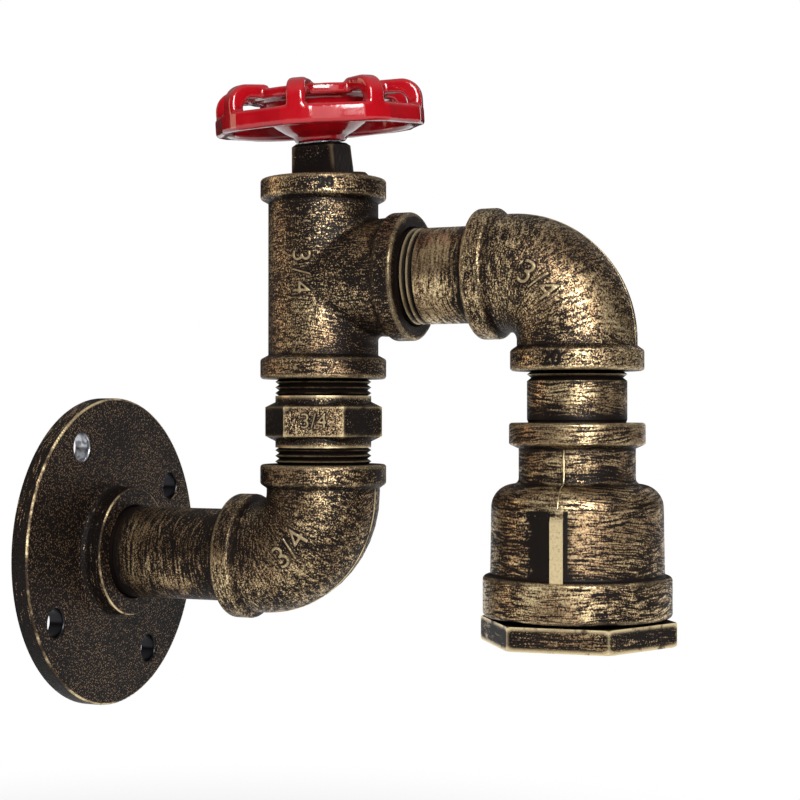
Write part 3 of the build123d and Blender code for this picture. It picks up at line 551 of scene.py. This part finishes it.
def hole_mask(tree, parts):
    """One inside a drilled hole and its rounded mouth, zero on the face."""
    across = distance(tree, parts["X"], parts["Z"])
    angle = calc(tree, "SUBTRACT", calc(
        tree, "ARCTAN2", parts["Z"], parts["X"]), HOLE_TURN)
    quarter = calc(tree, "SUBTRACT", calc(
        tree, "FLOORED_MODULO", calc(tree, "ADD", angle, math.pi / 4), math.pi / 2),
        math.pi / 4)
    local_x = calc(tree, "SUBTRACT", calc(
        tree, "MULTIPLY", across, calc(tree, "COSINE", quarter)), HOLE_CIRCLE)
    local_z = calc(tree, "MULTIPLY", across, calc(tree, "SINE", quarter))
    from_hole = distance(tree, local_x, local_z)
    return ramp(tree, from_hole, HOLE_R + 0.4 * MM, HOLE_R + 0.1 * MM)


def ring_line(tree, parts, radius, height, width):
    """One along a round corner of the flange, at a height off the wall."""
    across = distance(tree, parts["X"], parts["Z"])
    out = calc(tree, "SUBTRACT", across, radius)
    forward = calc(tree, "ADD", parts["Y"], height)
    return ramp(tree, distance(tree, out, forward), width, width * 0.3)


# %% Flange finish
BUMPS_PER_METRE = 1650.0
PEEL_DEPTH = 0.13 * MM
DULL_GOLD = (0.30, 0.19, 0.11, 1)
DARK_STEEL = (0.030, 0.030, 0.034, 1)
BARE_STEEL = (0.62, 0.64, 0.68, 1)
BARE_HOLE_LOW = 24 * MM


def flange_material():
    """Rough dark casting with gold specks, rubbed corners and one bright hole."""
    made, tree, shader = new_material("Bronze wall flange")
    place = position(tree)
    parts = split(tree, place)
    facing = split(tree, tree.nodes.new("ShaderNodeNewGeometry").outputs["Normal"])
    face = ramp(tree, facing["Y"], -0.7, -0.9)
    bumps = node(tree, "ShaderNodeTexVoronoi", {
        "Vector": place, "Scale": BUMPS_PER_METRE, "Smoothness": 0.4}, feature="SMOOTH_F1")
    peel = ramp(tree, bumps.outputs["Distance"], 0.70, 0.10)
    bump_tone = node(tree, "ShaderNodeSeparateColor", {"Color": bumps.outputs["Color"]})
    patches = noise(tree, place, 42.0, 3.0, 0.55)
    chance = calc(tree, "ADD", bump_tone.outputs["Red"], calc(
        tree, "MULTIPLY", calc(tree, "SUBTRACT", patches, 0.5), 2.4))
    speck = calc(tree, "MULTIPLY", calc(
        tree, "MULTIPLY", ramp(tree, chance, 0.00, 0.50), ramp(tree, peel, 0.50, 0.85)), 0.95)
    corners = calc(tree, "MAXIMUM", ring_line(tree, parts, **RIM_LINE),
                   ring_line(tree, parts, **BOSS_LINE))
    rubbed = calc(tree, "MULTIPLY", corners, ramp(
        tree, noise(tree, place, 70.0, 4.0, 0.65), 0.42, 0.60, 0.08, 0.95))
    brushed = use_group(tree, brushed_gold, {
        "Position": place, "Way": way_of(tree, place, "Y"), "Coverage": 0.24,
        "Streaks": 0.9, "Specks": 0.5, "Patch Size": 14 * MM})
    sides = calc(tree, "MULTIPLY", brushed.outputs["Gold"], calc(
        tree, "SUBTRACT", 1.0, face))
    gold = calc(tree, "MAXIMUM", calc(tree, "MAXIMUM", calc(
        tree, "MULTIPLY", speck, face), rubbed), sides, clamp=True)
    metal = blend_colour(tree, calc(tree, "MAXIMUM", rubbed, calc(
        tree, "MULTIPLY", brushed.outputs["Tone"], 0.7)), DULL_GOLD, GOLD)
    ground = blend_colour(tree, patches, BLACK, UMBER)
    painted = blend_colour(tree, gold, ground, metal)
    drilled = hole_mask(tree, parts)
    bare = calc(tree, "MULTIPLY", ramp(tree, parts["X"], 0.0, -1 * MM), ramp(
        tree, parts["Z"], BARE_HOLE_LOW, BARE_HOLE_LOW + 1 * MM))
    scuffed = ramp(tree, noise(tree, place, 600.0, 3.0), 0.35, 0.60, 0.25, 1.0)
    steel = blend_colour(tree, calc(tree, "MULTIPLY", bare, scuffed), DARK_STEEL, BARE_STEEL)
    raised = calc(tree, "MULTIPLY", peel, calc(tree, "SUBTRACT", 1.0, drilled))
    put(tree, shader.inputs["Base Color"], blend_colour(tree, drilled, painted, steel))
    put(tree, shader.inputs["Metallic"], calc(tree, "MAXIMUM", calc(
        tree, "MULTIPLY", gold, 0.9), drilled))
    put(tree, shader.inputs["Roughness"], ramp(tree, drilled, 0.0, 1.0, 0.48, 0.30))
    put(tree, shader.inputs["Normal"], bumped(tree, raised, PEEL_DEPTH))
    shader.inputs["Specular IOR Level"].default_value = DULL_SHEEN
    return made


finish_node("wall_flange", flange_material())
print("flange finished")

# %% [markdown]
# ## Plain finishes
# The remaining pieces are each one stuff: zinc plate, brass, spring steel, porcelain, rubber,
# pressed fibre, copper and cable insulation. None is a single flat colour. A grain and a slow
# change of tone are the least that each real one shows, so one function gives them those, with
# values of its own for each. It also paints shade into their creases, darker where an Ambient
# Occlusion node finds a corner.


# %% Plain finishes
def plain(name, light, dark, metallic, roughness, grain=300.0, depth=0.02 * MM, coat=0.0):
    """One stuff with grain, drifting tone and painted shade in its creases."""
    made, tree, shader = new_material(name)
    place = position(tree)
    fine = noise(tree, place, grain, 3.0, 0.6)
    drift = noise(tree, place, grain * 0.12, 2.0, 0.5)
    edges = use_group(tree, relief, {"Crease Reach": 2 * MM})
    tone = calc(tree, "ADD", calc(tree, "MULTIPLY", drift, 0.6), calc(
        tree, "MULTIPLY", fine, 0.4))
    # painted shade: the colour darkens in creases found by Ambient Occlusion, on top of a random
    # tone
    tone_and_crease_shade = calc(tree, "MULTIPLY", ramp(tree, tone, 0.3, 0.7), calc(
        tree, "ADD", 0.35, calc(tree, "MULTIPLY", edges.outputs["Open"], 0.65)))
    put(tree, shader.inputs["Base Color"], blend_colour(tree, tone_and_crease_shade, dark, light))
    put(tree, shader.inputs["Roughness"], ramp(
        tree, fine, 0.2, 0.8, max(roughness - 0.08, 0.02), roughness + 0.08))
    put(tree, shader.inputs["Normal"], bumped(tree, fine, depth))
    shader.inputs["Metallic"].default_value = metallic
    shader.inputs["Coat Weight"].default_value = coat
    return made


zinc = plain("Bright zinc", (0.70, 0.71, 0.74, 1), (0.40, 0.41, 0.44, 1), 1.0, 0.28, 500.0)
brass = plain("Drawn brass", (0.82, 0.62, 0.30, 1), (0.52, 0.35, 0.13, 1), 1.0, 0.30, 400.0)
spring_steel = plain("Spring steel", (0.45, 0.45, 0.47, 1), (0.22, 0.22, 0.24, 1), 1.0, 0.32)
porcelain = plain("Glazed porcelain", (0.86, 0.85, 0.80, 1), (0.62, 0.60, 0.54, 1), 0.0, 0.15,
                  250.0, 0.01 * MM, coat=0.6)
rubber = plain("Black rubber", (0.030, 0.030, 0.031, 1), (0.010, 0.010, 0.010, 1), 0.0, 0.75,
               900.0, 0.04 * MM)
fibre = plain("Pressed fibre", (0.42, 0.25, 0.14, 1), (0.22, 0.12, 0.06, 1), 0.0, 0.85,
              1500.0, 0.05 * MM)
copper = plain("Bare copper", (0.80, 0.42, 0.24, 1), (0.45, 0.20, 0.10, 1), 1.0, 0.35, 900.0)
tinned = plain("Tinned brass", (0.70, 0.68, 0.62, 1), (0.42, 0.40, 0.36, 1), 1.0, 0.35)
blue = plain("Blue insulation", (0.05, 0.20, 0.58, 1), (0.02, 0.09, 0.30, 1), 0.0, 0.45)
brown = plain("Brown insulation", (0.24, 0.10, 0.04, 1), (0.11, 0.045, 0.02, 1), 0.0, 0.45)

# %% [markdown]
# ## Earth lead
# An earth lead is green with a yellow stripe down it. The stripe follows the lead, so the sign of
# the lead's own x is enough to split it into a green side and a yellow side.


# %% Earth insulation
def earth_material():
    """Green insulation with a yellow stripe."""
    made, tree, shader = new_material("Green and yellow insulation")
    place = position(tree)
    parts = split(tree, place)
    fine = noise(tree, place, 600.0, 2.0)
    stripe = ramp(tree, calc(tree, "ADD", parts["X"], calc(
        tree, "MULTIPLY", fine, 0.1 * MM)), 0.05 * MM, 0.25 * MM)
    colour = blend_colour(tree, stripe, (0.06, 0.34, 0.05, 1), (0.75, 0.62, 0.04, 1))
    put(tree, shader.inputs["Base Color"], colour)
    put(tree, shader.inputs["Roughness"], ramp(tree, fine, 0.2, 0.8, 0.40, 0.52))
    put(tree, shader.inputs["Normal"], bumped(tree, fine, 0.02 * MM))
    return made


green = earth_material()

# %% Finishes on their pieces
plain_finishes = {
    zinc: ["thrust_washer", "wheel_washer", "shoulder_screw", "pillar_screws", "earth_screw"],
    brass: ["lampholder_shell", "neutral_terminal", "live_terminal", "terminal_rivets",
            "centre_contact"],
    spring_steel: ["clamp_washer", "contact_clip", "contact_spring"],
    porcelain: ["lampholder_body"],
    rubber: ["wall_grommet"],
    fibre: ["lampholder_gasket"],
    copper: ["lead_cores"],
    tinned: ["earth_lug"],
    blue: ["neutral_lead"],
    brown: ["live_lead"],
    green: ["earth_lead"],
}
for material, names in plain_finishes.items():
    for name in names:
        finish_node(name, material)
    print(material.name, "on", names)

# %% [markdown]
# ## Blackened plug
# The plug's square head stayed nearly black. It is the roughest casting of all, with only its
# corners rubbed.

# %% Plug
finish_node("stem_plug", bronze("Blackened plug", "Z", coverage=0.02, streaks=0.3, specks=1.3,
                                grain=1.0 * MM, depth=0.40 * MM, rub=0.32))

# %% [markdown]
# ## Making new pieces
# The rest of the file adds a few pieces. Their shapes are drafted as objects with modifiers, or as
# curves or text, and only the finished mesh stays. Each piece rides on a body of the frame.

# %% Mesh helpers
WELD_GAP = 0.002 * MM


def weld(mesh):
    """Join the points that the frame's file keeps apart along sharp edges."""
    shape = bmesh.new()
    shape.from_mesh(mesh)
    bmesh.ops.remove_doubles(shape, verts=shape.verts, dist=WELD_GAP)
    shape.to_mesh(mesh)
    shape.free()


def place_piece(name, mesh, material, body):
    """Put a mesh in the scene as one piece that rides on a body."""
    piece = bpy.data.objects.new(name, mesh)
    bpy.context.scene.collection.objects.link(piece)
    mesh.materials.clear()
    mesh.materials.append(material)
    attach(piece, body)
    return piece


def baked_mesh(piece):
    """The mesh of an object with its modifiers applied."""
    graph = bpy.context.evaluated_depsgraph_get()
    return bpy.data.meshes.new_from_object(piece.evaluated_get(graph))


def soften_mesh(name, mesh, voxel, rounds):
    """Remesh a shape into one skin and round its corners."""
    draft = bpy.data.objects.new(name + "_draft", mesh)
    bpy.context.scene.collection.objects.link(draft)
    skin = draft.modifiers.new("Skin", "REMESH")
    skin.mode = "VOXEL"
    skin.voxel_size = voxel
    smooth = draft.modifiers.new("Round", "SMOOTH")
    smooth.factor = 0.5
    smooth.iterations = rounds
    made = baked_mesh(draft)
    bpy.data.objects.remove(draft)
    for polygon in made.polygons:
        polygon.use_smooth = True
    return made


# %% [markdown]
# ## The wheel's red enamel
# The wheel was cast and dipped in thick enamel. The paint fills inner corners and rounds outer
# ones, which a crisp CAD edge doesn't show. A voxel remesh of the CAD shape welds arms, rim and
# hub into one skin, and smoothing then rounds every corner as the paint does.

# %% Red enamel
BRIGHT_RED = (0.36, 0.003, 0.008, 1)
# the darker red is painted shade for the corners and the low end of a random tone
DARK_TONE_AND_SHADE_RED = (0.12, 0.001, 0.003, 1)


def enamel_material():
    """Glossy red enamel with painted shade in its corners and a slow random drift of tone."""
    made, tree, shader = new_material("Red enamel")
    place = position(tree)
    edges = use_group(tree, relief, {"Crease Reach": 3 * MM})
    drift = noise(tree, place, 140.0, 2.0)
    # painted shade: the red darkens in corners found by Ambient Occlusion, and a slow noise varies
    # its tone
    tone_and_shade = calc(tree, "MULTIPLY", edges.outputs["Open"], ramp(
        tree, drift, 0.2, 0.6, 0.75, 1.0))
    put(tree, shader.inputs["Base Color"], blend_colour(
        tree, tone_and_shade, DARK_TONE_AND_SHADE_RED, BRIGHT_RED))
    put(tree, shader.inputs["Roughness"], ramp(tree, drift, 0.2, 0.8, 0.10, 0.18))
    put(tree, shader.inputs["Normal"], bumped(tree, noise(tree, place, 320.0, 2.0), 0.04 * MM))
    shader.inputs["Coat Weight"].default_value = 0.5
    shader.inputs["Coat Roughness"].default_value = 0.04
    return made


# %% Enamelled wheel
WHEEL_VOXEL = 0.45 * MM
WHEEL_ROUNDS = 4
bare_wheel = nodes["handwheel"].data.copy()
weld(bare_wheel)
wheel_mesh = soften_mesh("wheel", bare_wheel, WHEEL_VOXEL, WHEEL_ROUNDS)
wheel_mesh.name = "enamelled_wheel"
wheel = place_piece("enamelled_wheel", wheel_mesh, enamel_material(), "wheel")
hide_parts("handwheel")
print("wheel faces", len(wheel_mesh.polygons))

# %% [markdown]
# ## Contact spring
# The spring over the centre contact gets shorter when a lamp pushes the contact up, and its upper
# end stays against the porcelain. Here the coil is copied as a piece of its own, welded and carried
# on the fixture in place of the frame's coil.

# %% Contact spring
coil_mesh = nodes["contact_spring"].data.copy()
coil_mesh.name = "pressed_spring"
weld(coil_mesh)
coil = place_piece("pressed_spring", coil_mesh, spring_steel, "fixture")
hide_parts("contact_spring")
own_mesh(coil)

# %% [markdown]
# ## Cast marks
# Fittings carry their size in raised figures: "3/4" stands for three-quarter-inch pipe. Text made
# flat has knife edges, and a casting has none, so each mark is remeshed and smoothed first. Then
# every point is laid on the fitting: along the bend, across it, and up from its skin. The brush
# skips the corner round each figure, so a fatter and much lower copy under it stays black.

# %% Raised figures
MARK_VOXEL = 0.14 * MM
MARK_ROUNDS = 3
MARK_ROOT = 0.30 * MM
FIGURE_PER_SIZE = 0.69


def flat_text(name, words, height, rise, wider, spacing):
    """Raised characters lying flat, centred, standing on z = 0."""
    letters = bpy.data.curves.new(name, "FONT")
    letters.body = words
    letters.size = height / FIGURE_PER_SIZE
    letters.space_character = spacing
    letters.offset = wider
    letters.extrude = (rise + MARK_ROOT) / 2
    letters.align_x = "CENTER"
    letters.align_y = "CENTER"
    draft = bpy.data.objects.new(name + "_text", letters)
    bpy.context.scene.collection.objects.link(draft)
    mesh = baked_mesh(draft)
    bpy.data.objects.remove(draft)
    for vertex in mesh.vertices:
        vertex.co.z += (rise - MARK_ROOT) / 2
    return soften_mesh(name, mesh, MARK_VOXEL, MARK_ROUNDS)


def turn_outward(mesh):
    """Make every face look out of the shape."""
    shape = bmesh.new()
    shape.from_mesh(mesh)
    bmesh.ops.recalc_face_normals(shape, faces=shape.faces)
    shape.to_mesh(mesh)
    shape.free()


# %% Laying marks on the fittings
MARK_RISE = 0.40 * MM
BLACK_RISE = 0.10 * MM
BLACK_WIDER = 0.28 * MM
DARK_RISE = 0.24 * MM
DARK_WIDER = 0.10 * MM
ELBOW_FIGURE = 6.4 * MM
ELBOW_R = 16.2 * MM
HEX_FLAT_R = 17.0 * MM * math.cos(math.pi / 6)


def on_bend(flat, bend, turn, around, side):
    """Lay a flat point on an elbow: x along the bend, y across it, z off its skin."""
    reach = BEND_R + ELBOW_R * math.cos(around)
    turned = turn - flat.x / reach
    tilted = around + side * flat.y / ELBOW_R
    out = BEND_R + (ELBOW_R + flat.z) * math.cos(tilted)
    return Vector((-(ELBOW_R + flat.z) * math.sin(tilted),
                   bend["Centre Y"] - out * math.cos(turned),
                   bend["Centre Z"] - bend["Up"] * out * math.sin(turned)))


def lay_mark(name, words, height, laid, slot, spacing=1.0, dark=False):
    """A size mark and the black round it, laid on a fitting by a function of a flat point."""
    layers = [("", MARK_RISE, 0.0, mark_bronze), ("_black", BLACK_RISE, BLACK_WIDER, mark_black)]
    if dark:
        layers = [("", DARK_RISE, DARK_WIDER, mark_black)]
    for ending, rise, wider, material in layers:
        mesh = flat_text(name + ending, words, height, rise, wider, spacing)
        for vertex in mesh.vertices:
            vertex.co = laid(vertex.co.copy())
        turn_outward(mesh)
        piece = place_piece(name + ending, mesh, material, "fixture")
        print(name + ending, "faces", len(mesh.polygons))


def bend_mark(name, bend, turn, around, side):
    """A size mark on an elbow."""
    lay_mark(name, "3/4", ELBOW_FIGURE, lambda flat: on_bend(
        flat, bend, math.radians(turn), math.radians(around), side), "antique_bronze_casting")


hex_along = Vector((-math.sin(HEX_FACE), math.cos(HEX_FACE), 0.0))


def on_hexagon(flat):
    """Lay a flat point on the hexagon's flat that looks away from the pipes."""
    return (hex_middle + hex_out * (HEX_FLAT_R + flat.z) + hex_along * flat.x
            + Vector((0.0, 0.0, flat.y)))


# %% Marks on the elbows and the hex nipple
bend_mark("lower_elbow_mark", lower_bend, turn=43.0, around=78.0, side=1.0)
bend_mark("upper_elbow_mark", upper_bend, turn=50.0, around=86.0, side=-1.0)
lay_mark("hex_nipple_mark", "3/4", 4.2 * MM, on_hexagon, "antique_bronze_pipe")

# %% [markdown]
# The tee has the size running down its side. Two beads have a smaller figure left black: 20 is the
# metric name of the same pipe.

# %% Marks round upright pipes
TEE_R = 15.75 * MM
BEAD_R = 18.0 * MM
BEAD_MIDDLE = 2.9 * MM
ELBOW_REACH = 26.9 * MM
TEE_REACH = 28.5 * MM


def on_pipe(flat, axis_y, radius, turn, height, downward):
    """Lay a flat point on an upright pipe, reading across it or down it."""
    across, up = (flat.y, -flat.x) if downward else (flat.x, flat.y)
    around = math.radians(turn) + across / radius
    return Vector(((radius + flat.z) * math.cos(around),
                   axis_y + (radius + flat.z) * math.sin(around), height + up))


def pipe_mark(name, words, size, axis_y, radius, turn, height, downward=False, **style):
    """A size mark on an upright pipe: its figures' size, then where it stands."""
    lay_mark(name, words, size, lambda flat: on_pipe(
        flat, axis_y, radius, turn, height, downward), "antique_bronze_casting", **style)


pipe_mark("tee_mark", "3/4", 5.4 * MM, riser_y, TEE_R, turn=182.0,
          height=branch_z + 1.2 * MM, downward=True, spacing=1.35)
pipe_mark("tee_bead_mark", "20", 3.0 * MM, riser_y, BEAD_R, turn=208.0,
          height=branch_z + TEE_REACH - BEAD_MIDDLE, dark=True)
pipe_mark("upper_elbow_bead_mark", "20", 3.8 * MM, drop_y, BEAD_R, turn=175.5,
          height=branch_z - ELBOW_REACH + BEAD_MIDDLE, dark=True)

# %% [markdown]
# ## Mould seams
# Where the two halves of the sand mould met, the fitting keeps a fine ridge. It runs along the
# outside of each elbow, in the plane of the pipes, and down the bell's shoulder to each rib. A
# thin rod half sunk in the skin is enough.

# %% Seam along a line
SEAM_R = 0.30 * MM
SEAM_SUNK = 0.12 * MM


def seam(name, fitting, points):
    """A fine ridge along a line of points."""
    line = bpy.data.curves.new(name, "CURVE")
    line.dimensions = "3D"
    line.bevel_depth = SEAM_R
    line.bevel_resolution = 2
    line.use_fill_caps = True
    spline = line.splines.new("POLY")
    spline.points.add(len(points) - 1)
    for point, place in zip(spline.points, points):
        point.co = (place.x, place.y, place.z, 1.0)
    draft = bpy.data.objects.new(name + "_line", line)
    bpy.context.scene.collection.objects.link(draft)
    mesh = baked_mesh(draft)
    bpy.data.objects.remove(draft)
    for polygon in mesh.polygons:
        polygon.use_smooth = True
    piece = place_piece(name, mesh, bronzes[fitting], "fixture")
    print(name, "points", len(points))


# %% Mould seams
NECK_OUTLINE = [(15.6, 32.0), (15.6, 24.4), (16.0, 23.1), (16.9, 22.4)]
SHOULDER_OUT = 16.6
SHOULDER_UP = 16.0
SHOULDER_R = 6.3


def outside_of(bend):
    """Points along the outside of a bend, just under its skin."""
    sunk = Vector((0.0, 0.0, -SEAM_SUNK))
    return [on_bend(sunk, bend, math.radians(step), 0.0, 1.0) for step in range(-6, 97, 3)]


def down_the_bell(turn):
    """Points from the bell's neck over its shoulder to a rib, just under its skin."""
    outline = list(NECK_OUTLINE)
    for step in range(80, 4, -6):
        outline.append((SHOULDER_OUT + SHOULDER_R * math.cos(math.radians(step)),
                        SHOULDER_UP + SHOULDER_R * math.sin(math.radians(step))))
    side = Vector((math.cos(math.radians(turn)), math.sin(math.radians(turn)), 0.0))
    return [Vector((0.0, drop_y, height * MM)) + side * radius * MM
            for radius, height in outline]


seam("lower_elbow_seam", "lower_elbow", outside_of(lower_bend))
seam("upper_elbow_seam", "upper_elbow", outside_of(upper_bend))
seam("bell_seam_left", "bell_reducer", down_the_bell(180.0 + RIB_DEGREES))
seam("bell_seam_right", "bell_reducer", down_the_bell(RIB_DEGREES))

# %% [markdown]
# ## Studio
# The photograph is a plain product shot on white, but the metal mirrors a room: pale above, dim
# walls around. So the world is white where the camera looks, a pale ceiling over dim walls in
# reflections, and an even soft sky as a lamp. That keeps the white from lighting the metal flat.

# %% World
DIM_WALLS = (0.024, 0.022, 0.021, 1)
PALE_CEILING = (0.42, 0.42, 0.42, 1)
SOFT_SKY = (0.95, 0.97, 1.0, 1)
WHITE = (1, 1, 1, 1)
SKY_STRENGTH = 0.20
world = bpy.data.worlds.new("Studio")
bpy.context.scene.world = world
world.use_nodes = True
sky = world.node_tree
sky.nodes.clear()
rays = sky.nodes.new("ShaderNodeLightPath")
direction = split(sky, sky.nodes.new("ShaderNodeTexCoord").outputs["Generated"])
ceiling = ramp(sky, direction["Z"], 0.10, 0.85)
room = blend_colour(sky, ceiling, DIM_WALLS, PALE_CEILING)
lamp_sky = node(sky, "ShaderNodeBackground", {"Color": SOFT_SKY, "Strength": SKY_STRENGTH})
white_sky = node(sky, "ShaderNodeBackground", {"Color": WHITE, "Strength": 1.0})
mirror_sky = node(sky, "ShaderNodeBackground", {"Color": room, "Strength": 1.0})
mirrored = calc(sky, "MAXIMUM", rays.outputs["Is Glossy Ray"],
                rays.outputs["Is Transmission Ray"])
unseen = node(sky, "ShaderNodeMixShader", {
    0: mirrored, 1: lamp_sky.outputs[0], 2: mirror_sky.outputs[0]})
seen = node(sky, "ShaderNodeMixShader", {
    0: rays.outputs["Is Camera Ray"], 1: unseen.outputs[0], 2: white_sky.outputs[0]})
sky_out = sky.nodes.new("ShaderNodeOutputWorld")
sky.links.new(seen.outputs[0], sky_out.inputs["Surface"])
print("world", world.name)

# %% [markdown]
# ## Floor
# The floor takes the object's shadow close by. Further out it melts into the white of the
# backdrop, as a paper sweep does, so no horizon shows. The metal mirrors it as the camera sees it.

# %% Floor
FLOOR_Z = -0.14
FLOOR_HALF = 4.0
FLOOR_GREY = (0.72, 0.72, 0.72, 1)
FADE_FROM = 0.22
FADE_TO = 0.42
NEAR_GLOW = 0.75
floor_mesh = bpy.data.meshes.new("floor")
floor_mesh.from_pydata([
    (-FLOOR_HALF, -FLOOR_HALF, FLOOR_Z), (FLOOR_HALF, -FLOOR_HALF, FLOOR_Z),
    (FLOOR_HALF, FLOOR_HALF, FLOOR_Z), (-FLOOR_HALF, FLOOR_HALF, FLOOR_Z)], [], [(0, 1, 2, 3)])
floor = bpy.data.objects.new("floor", floor_mesh)
bpy.context.scene.collection.objects.link(floor)
floor_material, floor_tree, floor_shader = new_material("Pale floor")
floor_rays = floor_tree.nodes.new("ShaderNodeLightPath")
floor_shader.inputs["Base Color"].default_value = FLOOR_GREY
floor_shader.inputs["Roughness"].default_value = 0.9
from_middle = node(floor_tree, "ShaderNodeVectorMath", operation="LENGTH")
floor_tree.links.new(position(floor_tree), from_middle.inputs[0])
fade = ramp(floor_tree, from_middle.outputs["Value"], FADE_FROM, FADE_TO, NEAR_GLOW, 1.0)
floor_glow = node(floor_tree, "ShaderNodeEmission", {"Color": WHITE, "Strength": 1.0})
floor_seen = calc(floor_tree, "MAXIMUM", floor_rays.outputs["Is Camera Ray"], calc(
    floor_tree, "MAXIMUM", floor_rays.outputs["Is Glossy Ray"],
    floor_rays.outputs["Is Transmission Ray"]))
floor_mix = node(floor_tree, "ShaderNodeMixShader", {
    0: calc(floor_tree, "MULTIPLY", floor_seen, fade), 1: floor_shader.outputs[0],
    2: floor_glow.outputs[0]})
floor_tree.links.new(floor_mix.outputs[0], floor_tree.nodes["Material Output"].inputs["Surface"])
floor_mesh.materials.append(floor_material)
print("floor at", FLOOR_Z)

# %% [markdown]
# ## Lamps
# The bright bands run down the pipes a little right of their middle and along the level pipes a
# little above it. So the main softbox hangs above the camera and a little to its right. A weak
# window stands further right. A warm lamp far to the left fills the left sides, and a narrow one
# behind on the right draws thin lines on the far edges.

# %% Lamps
camera_right = camera_direction.cross(Vector((0, 0, 1))).normalized()
target = Vector((0.0, -0.090, 0.040))


def softbox(name, aside, above, ahead, width, height, power, colour=(1.0, 1.0, 1.0)):
    """A flat lamp turned to the object: right of it, above it, and towards the camera."""
    data = bpy.data.lights.new(name, "AREA")
    data.shape = "RECTANGLE"
    data.size = width
    data.size_y = height
    data.energy = power
    data.color = colour
    lamp = bpy.data.objects.new(name, data)
    lamp.location = (target + camera_right * aside + Vector((0, 0, above))
                     - camera_direction * ahead)
    lamp.rotation_euler = (target - lamp.location).to_track_quat("-Z", "Y").to_euler()
    bpy.context.scene.collection.objects.link(lamp)
    print(name, "power", power)


softbox("Main softbox", aside=0.12, above=0.34, ahead=0.82, width=0.36, height=0.42, power=9.6)
softbox("Side window", aside=0.42, above=0.20, ahead=0.80, width=0.22, height=0.40, power=0.5,
        colour=(1.0, 0.90, 0.90))
softbox("Warm fill", aside=-0.90, above=0.05, ahead=-0.16, width=0.30, height=0.80, power=1.4,
        colour=(1.0, 0.72, 0.52))
softbox("Edge strip", aside=0.55, above=0.22, ahead=-0.76, width=0.05, height=0.70, power=0.4,
        colour=(1.0, 0.94, 0.92))
